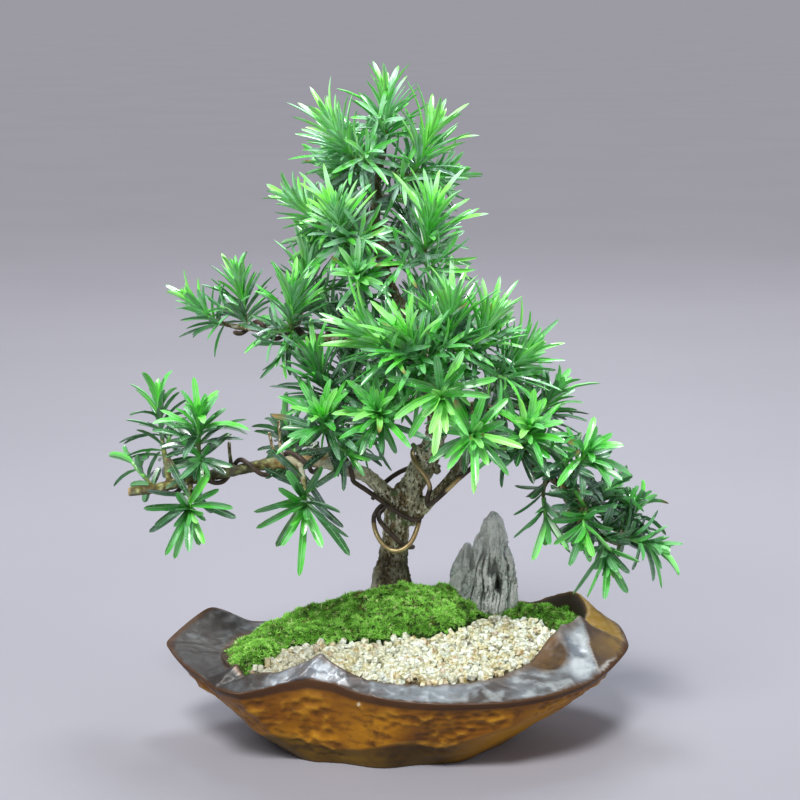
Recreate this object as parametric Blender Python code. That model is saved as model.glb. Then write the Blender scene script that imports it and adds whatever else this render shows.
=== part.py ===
# Buddhist pine bonsai in a carved oval pot, with its moss, gravel, standing stone and training wires.
# Everything below is in millimetres, +Z up, the front of the tree facing -Y. The origin is the middle
# of the pot's flat foot, on the surface that it stands on. Meshes are scaled to metres as they are made.

import math
import random

import bmesh
import bpy
import numpy as np
from mathutils import Vector, noise
from mathutils.bvhtree import BVHTree

MM = 0.001
SEED = 27
SEAT_GAP = 0.3  # between two pieces that touch
ROUGH_GAP = 0.6  # round a rough piece that stands in the ground

# Pot: one row for each turning point of the rim, going round from the left tip by way of the front.
# Angle in degrees, then the shoulder's radius and height, then the inner ridge's radius and height.
POT_RIM = [
    (-180, 123, 51, 100, 47),
    (-172, 116, 48, 97, 45),
    (-163, 107, 45, 93, 44),
    (-156, 102, 41, 90, 46),
    (-150, 107, 46, 87, 50),
    (-143, 100, 45, 76, 53),
    (-137, 78, 48, 66, 57),
    (-130, 67, 50, 58, 62),
    (-118, 62, 49, 55, 57),
    (-105, 63, 46, 54, 52),
    (-90, 66, 44, 55, 50),
    (-75, 72, 43, 59, 50),
    (-60, 82, 43, 67, 50),
    (-45, 98, 44, 73, 50),
    (-33, 109, 45, 76, 50),
    (-24, 117, 46, 80, 51),
    (-12, 124, 46, 88, 53),
    (-5, 130, 47, 98, 59),
    (3, 137, 49, 107, 66),
    (10, 139, 51, 114, 61),
    (18, 141, 53, 122, 65),
    (28, 135, 54, 124, 69),
    (38, 121, 52, 108, 60),
    (50, 103, 50, 92, 54),
    (68, 88, 50, 79, 52),
    (90, 82, 49, 73, 51),
    (112, 80, 50, 71, 51),
    (135, 84, 50, 75, 50),
    (150, 93, 54, 82, 50),
    (162, 108, 67, 91, 50),
    (173, 127, 52, 100, 46),
]
RIM_ANGLES = [row[0] for row in POT_RIM]
FOOT_HALF_X, FOOT_HALF_Y = 66, 50
KNEE_HEIGHT, BELLY_HEIGHT = 13, 29
KNEE_SHARE, BELLY_SHARE = 0.3, 0.66  # how far out from the foot to the shoulder
POT_FLOOR = 8
RIDGE_WIDTH = 3
WALL_FOOT_INSET = 9
FILL_INSET = 6.4  # the moss's and the gravel's edge, inside the ridge
WALL_GAP = 1.2
INNER_LEVEL = 43  # the height at which the inner wall starts to slope to the floor

# Ground: soil, moss over its mounds, gravel in front.
SOIL_LEVEL = 46
SOIL_CORNERS, SOIL_PITCH = ((-120, -90), (132, 102)), 15
GRAVEL_LEVEL, GRAVEL_RISE = 51.3, 0.75  # the bed follows the mounds only in part
# Each mound: centre x and y, height, spread to the left, to the right, to the front, to the back.
MOUNDS = [
    (2, 45, 21, 38, 30, 18, 12),
    (15, 22, 6, 75, 75, 30, 24),
    (32, 52, 6, 10, 10, 9, 8),
    (84, 50, 5, 16, 14, 12, 9),
    (-60, -18, 3, 14, 14, 12, 14),
]
MOSS_EDGE = [
    (-86, -44),
    (-66, -27),
    (-54, -6),
    (-36, -1),
    (-20, 3),
    (-6, 2),
    (8, 6),
    (24, 8),
    (36, 13),
    (44, 22),
    (56, 40),
    (76, 44),
    (88, 34),
    (100, 18),
    (130, 12),
]
MOSS_BACK = [(130, 100), (-130, 100), (-130, -44)]
MOSS_MIN_DEPTH, MOSS_DEPTH, MOSS_ROUNDING = 6.2, 9, 9
MOSS_PITCH, MOSS_TUFT = 7.8, 1.1
GRAVEL_PITCH, GRAVEL_GRAIN = 6.8, 1.1
BORDER_GAP = 0.5

# Standing stone: height, middle x, half width, half depth, from foot to tip, for its mass and its side shard.
STONE_Y = 54
STONE_MASS = [
    (44, 54.5, 20.3, 8.4),
    (60, 54.5, 20.6, 9),
    (73, 54.4, 20, 8.8),
    (85, 55, 17.2, 7.8),
    (92, 58, 13, 6.9),
    (98, 60, 9.8, 5.8),
    (104, 60.7, 7.8, 4.8),
    (110, 60.8, 5.6, 3.5),
    (114, 61.2, 3.4, 2.2),
    (117, 61.2, 1.3, 1),
]
STONE_SHARD = [
    (76, 44.6, 7.6, 6),
    (85, 44.8, 6.2, 5),
    (92, 45.2, 4.2, 3.6),
    (98, 45.8, 1.3, 1.2),
]
STONE_SIDES = 14
STONE_FURROWS, STONE_FURROW = 5, 0.07

# Wood: x, y, z and radius along each limb, from where it starts to its tip.
LIMBS = {
    "trunk": [
        (2, 46, 50, 13),
        (2, 46, 66, 12.6),
        (2, 45, 80, 10.8),
        (3, 44, 91, 8.8),
        (4, 44, 103, 7.8),
        (6, 42, 120, 7.4),
        (14, 40, 137, 7),
        (23, 38, 154, 6.4),
        (28, 36, 170, 5.6),
        (26, 34, 187, 5.2),
        (21, 33, 211, 4.7),
        (11, 35, 233, 4.1),
        (1, 38, 252, 3.6),
        (-5, 40, 275, 3.1),
        (-7, 42, 297, 2.7),
        (-4, 42, 319, 2.1),
        (-1, 39, 333, 1.5),
    ],
    "left": [
        (6, 42, 122, 4.6),
        (-4, 38, 136, 4.3),
        (-13, 34, 144, 4.1),
        (-24, 30, 149, 3.9),
        (-38, 28, 153, 3.7),
        (-52, 26, 153, 3.5),
        (-68, 25, 152, 3.3),
        (-84, 25, 149, 3.1),
        (-99, 26, 146, 3),
        (-115, 26, 142, 2.9),
        (-131, 26, 138, 2.8),
        (-147, 25, 136, 2.6),
    ],
    "right": [
        (9, 42, 114, 4),
        (20, 36, 124, 3.7),
        (30, 30, 136, 3.5),
        (38, 26, 146, 3.3),
        (44, 22, 156, 3.2),
        (49, 18, 164, 3),
        (57, 15, 168, 2.9),
        (67, 13, 165, 2.8),
        (80, 12, 156, 2.6),
        (93, 12, 146, 2.4),
        (103, 12, 138, 2.3),
        (114, 14, 124, 2.1),
        (123, 16, 112, 1.8),
        (132, 18, 107, 1.5),
    ],
    "upper_left": [
        (14, 34, 226, 3),
        (-4, 30, 224, 2.6),
        (-20, 28, 224, 2.5),
        (-38, 28, 224, 2.3),
        (-52, 28, 226, 2.1),
        (-66, 30, 228, 1.9),
        (-77, 31, 229, 1.7),
        (-87, 32, 230, 1.5),
        (-96, 33, 233, 1.2),
    ],
    "front": [
        (21, 34, 208, 3.2),
        (22, 18, 213, 2.8),
        (28, 6, 216, 2.5),
        (40, 4, 217, 2.2),
        (52, 7, 214, 1.8),
    ],
    "inner_left": [
        (25, 35, 190, 3),
        (10, 27, 191, 2.5),
        (-6, 21, 190, 2.2),
        (-20, 18, 189, 1.8),
    ],
    "upper_right": [
        (27, 36, 178, 3.2),
        (42, 32, 184, 2.7),
        (58, 31, 183, 2.3),
        (72, 32, 176, 1.9),
        (80, 32, 170, 1.5),
    ],
    "back": [
        (22, 34, 205, 3.2),
        (14, 52, 209, 2.7),
        (4, 64, 210, 2.3),
        (-12, 71, 210, 1.9),
    ],
    "back_low": [
        (27, 37, 172, 3),
        (34, 54, 174, 2.6),
        (44, 66, 174, 2.1),
        (52, 71, 173, 1.7),
    ],
}
LIMB_SIDES = {"trunk": 8, "left": 6, "right": 6}
LIMB_SIDES_OTHERWISE = 5
LIMB_SPACING = {"trunk": 12, "left": 14, "right": 12, "upper_left": 16}
LIMB_SPACING_OTHERWISE = 12
BARK_FLUTE = 0.07
TWIG_RADIUS, TWIG_SIDES, TWIG_SPACING, TWIG_END = 1.25, 3, 16, 2.5

# Leafy shoots: the limb that bears it, the middle of its whorl, the way it points, leaves, leaf length.
SHOOTS = [
    ("apex_top", "trunk", (-1, 38, 346), (0, -0.1, 1), 8, 28),
    ("apex_left", "trunk", (-23, 29, 331), (-0.55, -0.2, 0.8), 10, 31),
    ("apex_right", "trunk", (19, 31, 326), (0.35, -0.25, 0.9), 11, 34),
    ("crown_left", "trunk", (-44, 45, 292), (-0.7, -0.1, 0.6), 9, 26),
    ("crown_front_left", "trunk", (-26, 10, 289), (-0.2, -0.55, 0.8), 9, 28),
    ("crown_front_right", "trunk", (22, 5, 284), (0.15, -0.45, 0.9), 11, 34),
    ("crown_right", "trunk", (21, 50, 307), (0.8, 0.15, 0.4), 8, 26),
    ("crown_inner_left", "trunk", (-24, 58, 314), (-0.75, 0.4, 0.4), 7, 24),
    ("waist_left", "trunk", (-34, 62, 273), (-0.8, 0.35, 0.25), 7, 25),
    ("waist_front", "trunk", (-16, 8, 261), (-0.05, -0.85, 0.4), 8, 24),
    ("pad_tip", "upper_left", (-103, 34, 238), (-0.75, 0, 0.65), 5, 20),
    ("pad_left", "upper_left", (-82, 35, 245), (-0.2, 0, 1), 8, 25),
    ("pad_front", "upper_left", (-53, 15, 241), (0.05, -0.3, 0.95), 9, 29),
    ("pad_back", "upper_left", (-46, 46, 255), (0.1, 0.15, 1), 8, 27),
    ("fan_outer", "front", (0, -12, 226), (-0.75, -0.3, 0.55), 11, 36),
    ("fan_inner", "front", (16, -20, 225), (-0.35, -0.6, 0.7), 9, 33),
    ("heart_up", "front", (34, -8, 233), (0.05, -0.3, 1), 11, 36),
    ("heart_right", "front", (51, -2, 227), (0.35, -0.25, 0.9), 10, 33),
    ("shoulder_right", "front", (66, 5, 211), (0.65, -0.3, 0.6), 11, 33),
    ("heart_front", "front", (29, -32, 203), (0.05, -0.95, -0.05), 9, 33),
    ("skirt_front", "right", (46, -27, 180), (0.1, -0.9, 0.15), 11, 31),
    ("breast_left", "inner_left", (-4, -12, 187), (-0.1, -0.8, 0.45), 11, 32),
    ("collar_left", "inner_left", (-36, 8, 203), (-0.3, -0.3, 0.85), 9, 31),
    ("collar_back", "inner_left", (-20, 40, 199), (-0.1, 0.3, 0.95), 8, 28),
    ("bough_up", "left", (-33, -9, 181), (-0.15, -0.7, 0.6), 11, 33),
    ("bough_under", "left", (-45, -14, 140), (0.05, -0.85, -0.2), 11, 34),
    ("bough_back", "left", (-56, 48, 160), (-0.2, 0.5, 0.7), 7, 26),
    ("hand_up", "left", (-105, 9, 174), (0.05, -0.4, 0.9), 11, 28),
    ("hand_left", "left", (-130, 42, 176), (-0.1, 0.15, 1), 7, 25),
    ("hand_under", "left", (-110, 1, 134), (0.05, -0.85, -0.15), 11, 27),
    ("hand_tip", "left", (-143, 40, 146), (-0.6, 0.4, 0.6), 5, 20),
    ("cascade_crown", "right", (76, -8, 175), (0.1, -0.6, 0.6), 10, 28),
    ("cascade_back", "upper_right", (89, 32, 184), (0.5, 0, 0.85), 8, 28),
    ("cascade_fan", "right", (107, 1, 160), (0.3, -0.6, 0.65), 10, 28),
    ("cascade_side", "right", (121, 26, 134), (0.7, 0.1, 0.55), 8, 24),
    ("cascade_under", "right", (109, -6, 127), (-0.1, -0.7, -0.4), 8, 24),
    ("cascade_low", "right", (121, 0, 110), (0.1, -0.6, -0.55), 9, 24),
    ("cascade_tip", "right", (143, 12, 110), (0.8, -0.3, -0.2), 10, 23),
    ("cascade_end", "right", (140, 33, 120), (0.4, 0.4, 0.75), 7, 22),
    ("cascade_sprig", "right", (88, 8, 130), (0.1, -0.15, -0.95), 8, 24),
    ("rear_crown_left", "trunk", (-22, 76, 297), (-0.25, 0.75, 0.6), 8, 27),
    ("rear_crown_right", "trunk", (17, 79, 284), (0.35, 0.75, 0.5), 8, 27),
    ("rear_heart", "back", (22, 78, 232), (0.3, 0.6, 0.75), 8, 29),
    ("rear_left", "back", (-32, 80, 222), (-0.5, 0.5, 0.7), 8, 29),
    ("rear_low", "back", (2, 88, 194), (0, 0.9, 0.2), 8, 28),
    ("rear_right", "back_low", (64, 76, 182), (0.5, 0.5, 0.7), 8, 29),
]
SHOOT_LENGTH, SHOOT_RADIUS, SHOOT_SIDES = 13, 1.5, 3
GOLDEN_ANGLE = 137.5
LEAF_WIDTH, LEAF_THICKNESS = 4.7, 0.9
# Along the blade: share of its length, share of its width.
LEAF_OUTLINE = [(0, 0.2), (0.62, 1), (1, 0)]
LEAF_ROOT = 0.18  # the share of a blade that may lie against the next one, by the stem
LOW_LEAF_OPENING, TOP_LEAF_OPENING = 98, 26  # degrees from the shoot's own line
LEAF_RECURVE = 26
CLEARANCE, SIBLING_CLEARANCE = 0.5, 0.2
TURNS_TO_TRY = (0, 8, -8, 16, -16, 25, -25)
LIFTS_TO_TRY = (0, 12, -12, 24, -24)
SIZES_TO_TRY = (1, 0.82, 0.66)

WIRE_RADIUS = 1.4
WIRE_GAP = 0.7
WIRE_STEP, WIRE_SIDES, WIRE_SPACING = 2.5, 5, 5.2


def mixed(a, b, share):
    return a + (b - a) * share


def smooth_path(rows, spacing):
    """Evenly spaced rows along a Catmull-Rom curve through the given rows, which hold x, y, z and a radius."""
    rows = [np.array(row, float) for row in rows]
    ends = [2 * rows[0] - rows[1], *rows, 2 * rows[-1] - rows[-2]]
    dense = []
    for a, b, c, d in zip(ends, ends[1:], ends[2:], ends[3:]):
        for step in range(12):
            t = step / 12
            even = 2 * b + (c - a) * t
            bend = (2 * a - 5 * b + 4 * c - d) * t * t + (3 * b - a - 3 * c + d) * t**3
            dense.append(0.5 * (even + bend))
    dense.append(rows[-1])
    dense = np.array(dense)
    run = np.concatenate([[0], np.cumsum(np.linalg.norm(np.diff(dense[:, :3], axis=0), axis=1))])
    count = max(2, round(run[-1] / spacing) + 1)
    places = np.linspace(0, run[-1], count)
    return np.stack([np.interp(places, run, dense[:, k]) for k in range(dense.shape[1])], axis=1)


def frames_along(points):
    """At each point the tangent and two directions square to it, carried along without twisting."""
    points = [Vector(p[:3]) for p in points]
    tangents = []
    for i in range(len(points)):
        before, after = points[max(i - 1, 0)], points[min(i + 1, len(points) - 1)]
        tangents.append((after - before).normalized())
    side = tangents[0].cross(Vector((0, 1, 0)))
    if side.length < 0.1:
        side = tangents[0].cross(Vector((1, 0, 0)))
    side.normalize()
    frames = []
    for tangent in tangents:
        side = (side - tangent * side.dot(tangent)).normalized()
        frames.append((tangent, side, tangent.cross(side)))
    return frames


def loft(rings):
    """Points and faces of the closed skin over a list of rings. A ring of one point is a tip."""
    points, faces, starts = [], [], []
    for ring in rings:
        starts.append(len(points))
        points.extend(Vector(p) for p in ring)
    for i in range(len(rings) - 1):
        low, high, n, m = starts[i], starts[i + 1], len(rings[i]), len(rings[i + 1])
        for k in range(max(n, m)):
            after = (k + 1) % max(n, m)
            if m == 1:
                faces.append((low + k, low + after, high))
            elif n == 1:
                faces.append((low, high + after, high + k))
            else:
                faces.append((low + k, low + after, high + after))
                faces.append((low + k, high + after, high + k))
    if len(rings[0]) > 1:
        faces.append(tuple(reversed(range(len(rings[0])))))
    if len(rings[-1]) > 1:
        faces.append(tuple(range(starts[-1], starts[-1] + len(rings[-1]))))
    return points, faces


def tube(rows, sides, flute=0.0, seed=0):
    """A round rod along rows of x, y, z and radius. The flute roughens its radius like bark."""
    rings = []
    for row, (_, side, up) in zip(rows, frames_along(rows)):
        centre, ring = Vector(row[:3]), []
        for k in range(sides):
            angle = math.tau * k / sides
            out = side * math.cos(angle) + up * math.sin(angle)
            rough = noise.noise((centre + out * row[3]) * 0.11 + Vector((seed, 0, 0)))
            ring.append(centre + out * row[3] * (1 + flute * 2 * rough))
        rings.append(ring)
    return loft(rings)


def material(name, colour, roughness, metallic=0.0):
    made = bpy.data.materials.new(name)
    made.use_nodes = True
    shader = made.node_tree.nodes["Principled BSDF"]
    shader.inputs["Base Color"].default_value = (*colour, 1)
    shader.inputs["Roughness"].default_value = roughness
    shader.inputs["Metallic"].default_value = metallic
    made.diffuse_color = (*colour, 1)
    return made


def mesh_object(name, points, faces, finish=None):
    """A named object in the scene, its points turned from millimetres to metres and its faces facing out."""
    mesh = bpy.data.meshes.new(name)
    mesh.from_pydata([tuple(p * MM for p in point) for point in points], [], faces)
    work = bmesh.new()
    work.from_mesh(mesh)
    bmesh.ops.recalc_face_normals(work, faces=work.faces)
    work.to_mesh(mesh)
    work.free()
    made = bpy.data.objects.new(name, mesh)
    bpy.context.scene.collection.objects.link(made)
    if finish:
        made.data.materials.append(finish)
    return made


def remove(item):
    bpy.data.objects.remove(item, do_unlink=True)


def apply_modifiers(item):
    """Replaces the object's mesh by what its modifiers make of it."""
    bpy.context.view_layer.update()
    graph = bpy.context.evaluated_depsgraph_get()
    made = bpy.data.meshes.new_from_object(item.evaluated_get(graph))
    item.modifiers.clear()
    item.data = made


def boolean(item, other, operation, solver="EXACT"):
    """Cuts, joins or intersects item with one other object, which is used up."""
    change = item.modifiers.new(operation.lower(), "BOOLEAN")
    change.operation = operation
    change.solver = solver
    change.object = other
    apply_modifiers(item)
    remove(other)


def fuse(item, repeats, solver="EXACT"):
    """Joins item and its repeats in one body, in one Boolean union on a collection."""
    group = bpy.data.collections.new(item.name + "_repeats")
    bpy.context.scene.collection.children.link(group)
    for repeat in repeats:
        bpy.context.scene.collection.objects.unlink(repeat)
        group.objects.link(repeat)
    join = item.modifiers.new("fuse", "BOOLEAN")
    join.operation = "UNION"
    join.solver = solver
    join.operand_type = "COLLECTION"
    join.collection = group
    apply_modifiers(item)
    for repeat in list(group.objects):
        remove(repeat)
    bpy.data.collections.remove(group)


def swollen(item, name, by):
    """A copy of the object with its skin moved out by a distance, in millimetres, to cut a gap with."""
    mesh = item.data.copy()
    copy = bpy.data.objects.new(name, mesh)
    bpy.context.scene.collection.objects.link(copy)
    work = bmesh.new()
    work.from_mesh(mesh)
    work.normal_update()
    for vertex in work.verts:
        vertex.co += vertex.normal * vertex.calc_shell_factor() * by * MM
    work.to_mesh(mesh)
    work.free()
    return copy


def keep_largest_body(item):
    """Drops any loose scrap that a cut leaves behind."""
    work = bmesh.new()
    work.from_mesh(item.data)
    work.faces.ensure_lookup_table()
    left, bodies = set(work.faces), []
    while left:
        reached, body = [left.pop()], set()
        while reached:
            face = reached.pop()
            body.add(face)
            for edge in face.edges:
                for other in edge.link_faces:
                    if other in left:
                        left.remove(other)
                        reached.append(other)
        bodies.append(body)
    bodies.sort(key=len)
    for body in bodies[:-1]:
        bmesh.ops.delete(work, geom=list(body), context="FACES")
    work.to_mesh(item.data)
    work.free()


def smooth_edges(item, degrees):
    item.data.shade_smooth()
    item.data.set_sharp_from_angle(angle=math.radians(degrees))


# Pot

def rim_at(angle):
    """Shoulder radius and height, ridge radius and height, at an angle in degrees."""
    rows = POT_RIM
    angles = [row[0] for row in rows] + [rows[0][0] + 360]
    angle = (angle - angles[0]) % 360 + angles[0]
    return [float(np.interp(angle, angles, [row[k] for row in rows] + [rows[0][k]])) for k in range(1, 5)]


def around(radius, angle, height):
    turn = math.radians(angle)
    return Vector((radius * math.cos(turn), radius * math.sin(turn), height))


def foot_radius(angle):
    """The foot is an oval with eight soft corners."""
    turn = math.radians(angle)
    oval = 1 / math.hypot(math.cos(turn) / FOOT_HALF_X, math.sin(turn) / FOOT_HALF_Y)
    return oval * (1 + 0.035 * math.cos(8 * turn + 0.4))


def pot_rings(angles):
    """The rings of the pot's skin, from its foot up the outside, over the ridge and down to the floor."""
    names = ("foot", "knee", "belly", "shoulder", "ridge", "ridge_inside", "inner", "floor")
    rings = {name: [] for name in names}
    for angle in angles:
        shoulder, shoulder_z, ridge, ridge_z = rim_at(angle)
        foot = min(foot_radius(angle), shoulder - 12)
        facet = math.sin(math.radians(angle) * 7 + 1.1) * 1.3 + math.sin(math.radians(angle) * 11) * 0.8
        rings["foot"].append(around(foot, angle, 0))
        rings["knee"].append(around(mixed(foot, shoulder, KNEE_SHARE) + facet, angle, KNEE_HEIGHT))
        rings["belly"].append(around(mixed(foot, shoulder, BELLY_SHARE) - 0.7 * facet, angle, BELLY_HEIGHT))
        rings["shoulder"].append(around(shoulder, angle, shoulder_z))
        rings["ridge"].append(around(ridge, angle, ridge_z))
        rings["ridge_inside"].append(around(ridge - RIDGE_WIDTH, angle, ridge_z - 1.5))
        rings["inner"].append(around(ridge - RIDGE_WIDTH - 2, angle, min(INNER_LEVEL, ridge_z - 3)))
        rings["floor"].append(around(foot - WALL_FOOT_INSET, angle, POT_FLOOR))
    return [rings[name] for name in names]


def build_pot(finish):
    pot = mesh_object("pot", *loft(pot_rings(RIM_ANGLES)), finish)
    smooth_edges(pot, 24)
    return pot


# Ground

def mound(x, y):
    height = 0
    for cx, cy, top, left, right, front, back in MOUNDS:
        across = (x - cx) / (left if x < cx else right)
        along = (y - cy) / (front if y < cy else back)
        height += top * math.exp(-0.5 * (across * across + along * along))
    return height


def distance_to_edge(x, y):
    """How far a point is from the line where the moss meets the gravel."""
    point, best = Vector((x, y)), 1e9
    for start, end in zip(MOSS_EDGE, MOSS_EDGE[1:]):
        a, b = Vector(start), Vector(end)
        share = max(0, min(1, (point - a).dot(b - a) / (b - a).length_squared))
        best = min(best, (point - a - (b - a) * share).length)
    return best


def soil_height(x, y):
    return SOIL_LEVEL + mound(x, y)


def moss_height(x, y):
    rounding = math.sqrt(min(1, distance_to_edge(x, y) / MOSS_ROUNDING))
    tuft = noise.noise(Vector((x * 0.31, y * 0.31, SEED))) * 2 * MOSS_TUFT
    return soil_height(x, y) + mixed(MOSS_MIN_DEPTH, MOSS_DEPTH, rounding) + tuft


def gravel_height(draw):
    """Each grid point is a grain of its own, standing a little higher or lower than the next."""
    def height(x, y):
        return GRAVEL_LEVEL + GRAVEL_RISE * mound(x, y) + draw.uniform(-GRAVEL_GRAIN, GRAVEL_GRAIN)

    return height


def relief_block(name, corner, far_corner, pitch, height, floor, jitter=0.0, draw=None):
    """A block whose top is raised by a height formula over a grid."""
    columns = round((far_corner[0] - corner[0]) / pitch) + 1
    rows = round((far_corner[1] - corner[1]) / pitch) + 1
    points, faces = [], []
    for j in range(rows):
        for i in range(columns):
            inside = 0 < i < columns - 1 and 0 < j < rows - 1
            x = corner[0] + i * pitch + (draw.uniform(-jitter, jitter) if inside and jitter else 0)
            y = corner[1] + j * pitch + (draw.uniform(-jitter, jitter) if inside and jitter else 0)
            points.append((x, y, height(x, y)))
    for j in range(rows - 1):
        for i in range(columns - 1):
            a = j * columns + i
            faces.append((a, a + 1, a + columns + 1))
            faces.append((a, a + columns + 1, a + columns))
    base = len(points)
    last_x, last_y = corner[0] + (columns - 1) * pitch, corner[1] + (rows - 1) * pitch
    for x, y in ((corner[0], corner[1]), (last_x, corner[1]), (last_x, last_y), (corner[0], last_y)):
        points.append((x, y, floor))
    front = list(range(columns))
    right = [columns - 1 + j * columns for j in range(rows)]
    back = [(rows - 1) * columns + i for i in reversed(range(columns))]
    left = [j * columns for j in reversed(range(rows))]
    for side, (a, b) in zip((front, right, back, left), ((0, 1), (1, 2), (2, 3), (3, 0))):
        faces.append((base + a, base + b, *reversed(side)))
    faces.append((base + 3, base + 2, base + 1, base))
    return mesh_object(name, points, faces)


def prism(name, outline, low, high):
    return mesh_object(name, *loft([[(x, y, low) for x, y in outline], [(x, y, high) for x, y in outline]]))


def fill_outline(angles):
    """The line round the moss and gravel, in plan."""
    points = [around(rim_at(angle)[2] - FILL_INSET, angle, 0) for angle in angles]
    return [(point.x, point.y) for point in points]


def fit_round(ground, standing):
    """Leaves a hole, a little wider all round, for each piece that stands in the ground."""
    for item in standing:
        boolean(ground, swollen(item, item.name + "_gap", ROUGH_GAP), "DIFFERENCE", "MANIFOLD")
    keep_largest_body(ground)


def build_soil(finish, standing):
    """The fill of the pot, from its floor to the underside of the moss and the gravel."""
    soil = relief_block("soil", *SOIL_CORNERS, SOIL_PITCH, soil_height, -5)
    soil.data.materials.append(finish)
    rings = pot_rings(RIM_ANGLES)
    floor = [p + Vector((0, 0, SEAT_GAP)) - p.normalized() * WALL_GAP for p in rings[-1]]
    level = [p.xy.normalized().to_3d() * (p.xy.length - WALL_GAP) + Vector((0, 0, p.z)) for p in rings[-2]]
    top = [Vector((p.x, p.y, 120)) for p in level]
    boolean(soil, mesh_object("cavity", *loft([top, level, floor])), "INTERSECT")
    fit_round(soil, standing)


def raised_soil():
    """The soil's form, raised by the seat gap, to cut the undersides of the moss and gravel with."""
    raised = relief_block("raised_soil", *SOIL_CORNERS, SOIL_PITCH, soil_height, -20)
    for vertex in raised.data.vertices:
        vertex.co.z += SEAT_GAP * MM
    return raised


def build_moss(finish, standing):
    """Moss laid over the mounds, from the trunk to the pot's wall, with its edge along the gravel."""
    draw = random.Random(SEED)
    moss = relief_block("moss", (-104, -56), (131, 90), MOSS_PITCH, moss_height, 20, 1.2, draw)
    moss.data.materials.append(finish)
    boolean(moss, prism("wall", fill_outline(RIM_ANGLES), -40, 140), "INTERSECT")
    boolean(moss, prism("edge", MOSS_EDGE + MOSS_BACK, -50, 150), "INTERSECT")
    boolean(moss, raised_soil(), "DIFFERENCE")
    fit_round(moss, standing)


def build_gravel(finish, standing):
    """The gravel bed in front of the moss."""
    draw = random.Random(SEED + 1)
    height = gravel_height(draw)
    gravel = relief_block("gravel", (-88, -72), (118, 62), GRAVEL_PITCH, height, 20, 1.1, draw)
    gravel.data.materials.append(finish)
    boolean(gravel, prism("wall", fill_outline(RIM_ANGLES), -40, 140), "INTERSECT")
    front = [(x, y - BORDER_GAP) for x, y in MOSS_EDGE] + [(130, -100), (-130, -100), (-130, -50)]
    boolean(gravel, prism("front", front, -50, 150), "INTERSECT")
    boolean(gravel, raised_soil(), "DIFFERENCE")
    fit_round(gravel, standing)


# Stone

def stone_body(name, rows, phase):
    """A weathered rock: oval rings with upright furrows that wander as they climb."""
    rings = []
    for height, middle, half_width, half_depth in rows:
        ring = []
        for k in range(STONE_SIDES):
            turn = math.tau * k / STONE_SIDES
            wander = math.sin(height * 0.09 + phase) * 0.5
            ridge = 1 + STONE_FURROW * math.sin(STONE_FURROWS * turn + wander + phase)
            rough = 1 + 0.12 * noise.noise(Vector((k * 1.7, height * 0.16, phase)))
            x = middle + half_width * math.cos(turn) * ridge * rough
            ring.append((x, STONE_Y + half_depth * math.sin(turn) * ridge * rough, height))
        rings.append(ring)
    return mesh_object(name, *loft(rings))


def build_stone(finish):
    stone = stone_body("stone", STONE_MASS, 0.7)
    stone.data.materials.append(finish)
    boolean(stone, stone_body("shard", STONE_SHARD, 2.1), "UNION")
    smooth_edges(stone, 40)
    return stone


# Wood

def limb_rows(name):
    return smooth_path(LIMBS[name], LIMB_SPACING.get(name, LIMB_SPACING_OTHERWISE))


def unit(direction):
    return Vector(direction).normalized()


def shoot_foot(place, heading):
    return Vector(place) - unit(heading) * SHOOT_LENGTH * 0.5


def twig_rows(limb, place, heading):
    """A twig from the nearest point of its limb to the foot of its shoot, ending along the shoot's own line."""
    rows = smooth_path(LIMBS[limb], 3)
    end = shoot_foot(place, heading) - unit(heading) * SEAT_GAP
    foot = end - unit(heading) * TWIG_END
    reach = np.linalg.norm(rows[:, :3] - np.array(foot - unit(heading) * 6), axis=1)
    start = rows[int(reach.argmin())]
    origin = Vector(start[:3])
    span = (foot - origin).length
    leave = (foot - origin).normalized()
    controls = [origin, origin + leave * span * 0.35, foot - unit(heading) * span * 0.35, foot]
    count = round(span / TWIG_SPACING) + 2
    made = []
    for k in range(count):
        t = k / (count - 1)
        weights = ((1 - t) ** 3, 3 * t * (1 - t) ** 2, 3 * t * t * (1 - t), t**3)
        point = sum((c * w for c, w in zip(controls, weights)), Vector())
        made.append((*point, mixed(min(start[3] * 0.75, 1.9), TWIG_RADIUS, min(1, t * 1.4))))
    made.append((*end, TWIG_RADIUS))
    return made


def build_wood(finish):
    """Trunk, limbs and twigs, grown as one piece."""
    bodies = []
    for number, name in enumerate(LIMBS):
        sides = LIMB_SIDES.get(name, LIMB_SIDES_OTHERWISE)
        bodies.append(mesh_object(name, *tube(limb_rows(name), sides, BARK_FLUTE, number)))
    for name, limb, place, heading, _, _ in SHOOTS:
        bodies.append(mesh_object(name + "_twig", *tube(twig_rows(limb, place, heading), TWIG_SIDES)))
    wood = bodies.pop(0)
    wood.data.materials.append(finish)
    fuse(wood, bodies)
    wood.name = "trunk_and_branches"
    smooth_edges(wood, 45)
    return wood


# Training wires

def coil(limb, start, end, turns, phase, loose_start=0.0, loose_end=0.0, steps=12):
    """Points of a coil that hugs a limb between two shares of its length. A loose end stands off the bark."""
    rows = smooth_path(LIMBS[limb], 2)
    frames = frames_along(rows)
    count = max(3, round(abs(turns) * steps) + 1)
    points = []
    for k in range(count):
        share = k / (count - 1)
        at = mixed(start, end, share) * (len(rows) - 1)
        low = min(int(at), len(rows) - 2)
        row = mixed(rows[low], rows[low + 1], at - low)
        tangent, _, _ = frames[low]
        front = Vector((0, -1, 0))
        front = (front - tangent * front.dot(tangent)).normalized()
        side = tangent.cross(front)
        angle = math.radians(phase + 360 * turns * share)
        out = front * math.cos(angle) + side * math.sin(angle)
        hug = row[3] * (1 + BARK_FLUTE) + WIRE_RADIUS + WIRE_GAP + mixed(loose_start, loose_end, share)
        points.append(Vector(row[:3]) + out * hug)
    return points


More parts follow.
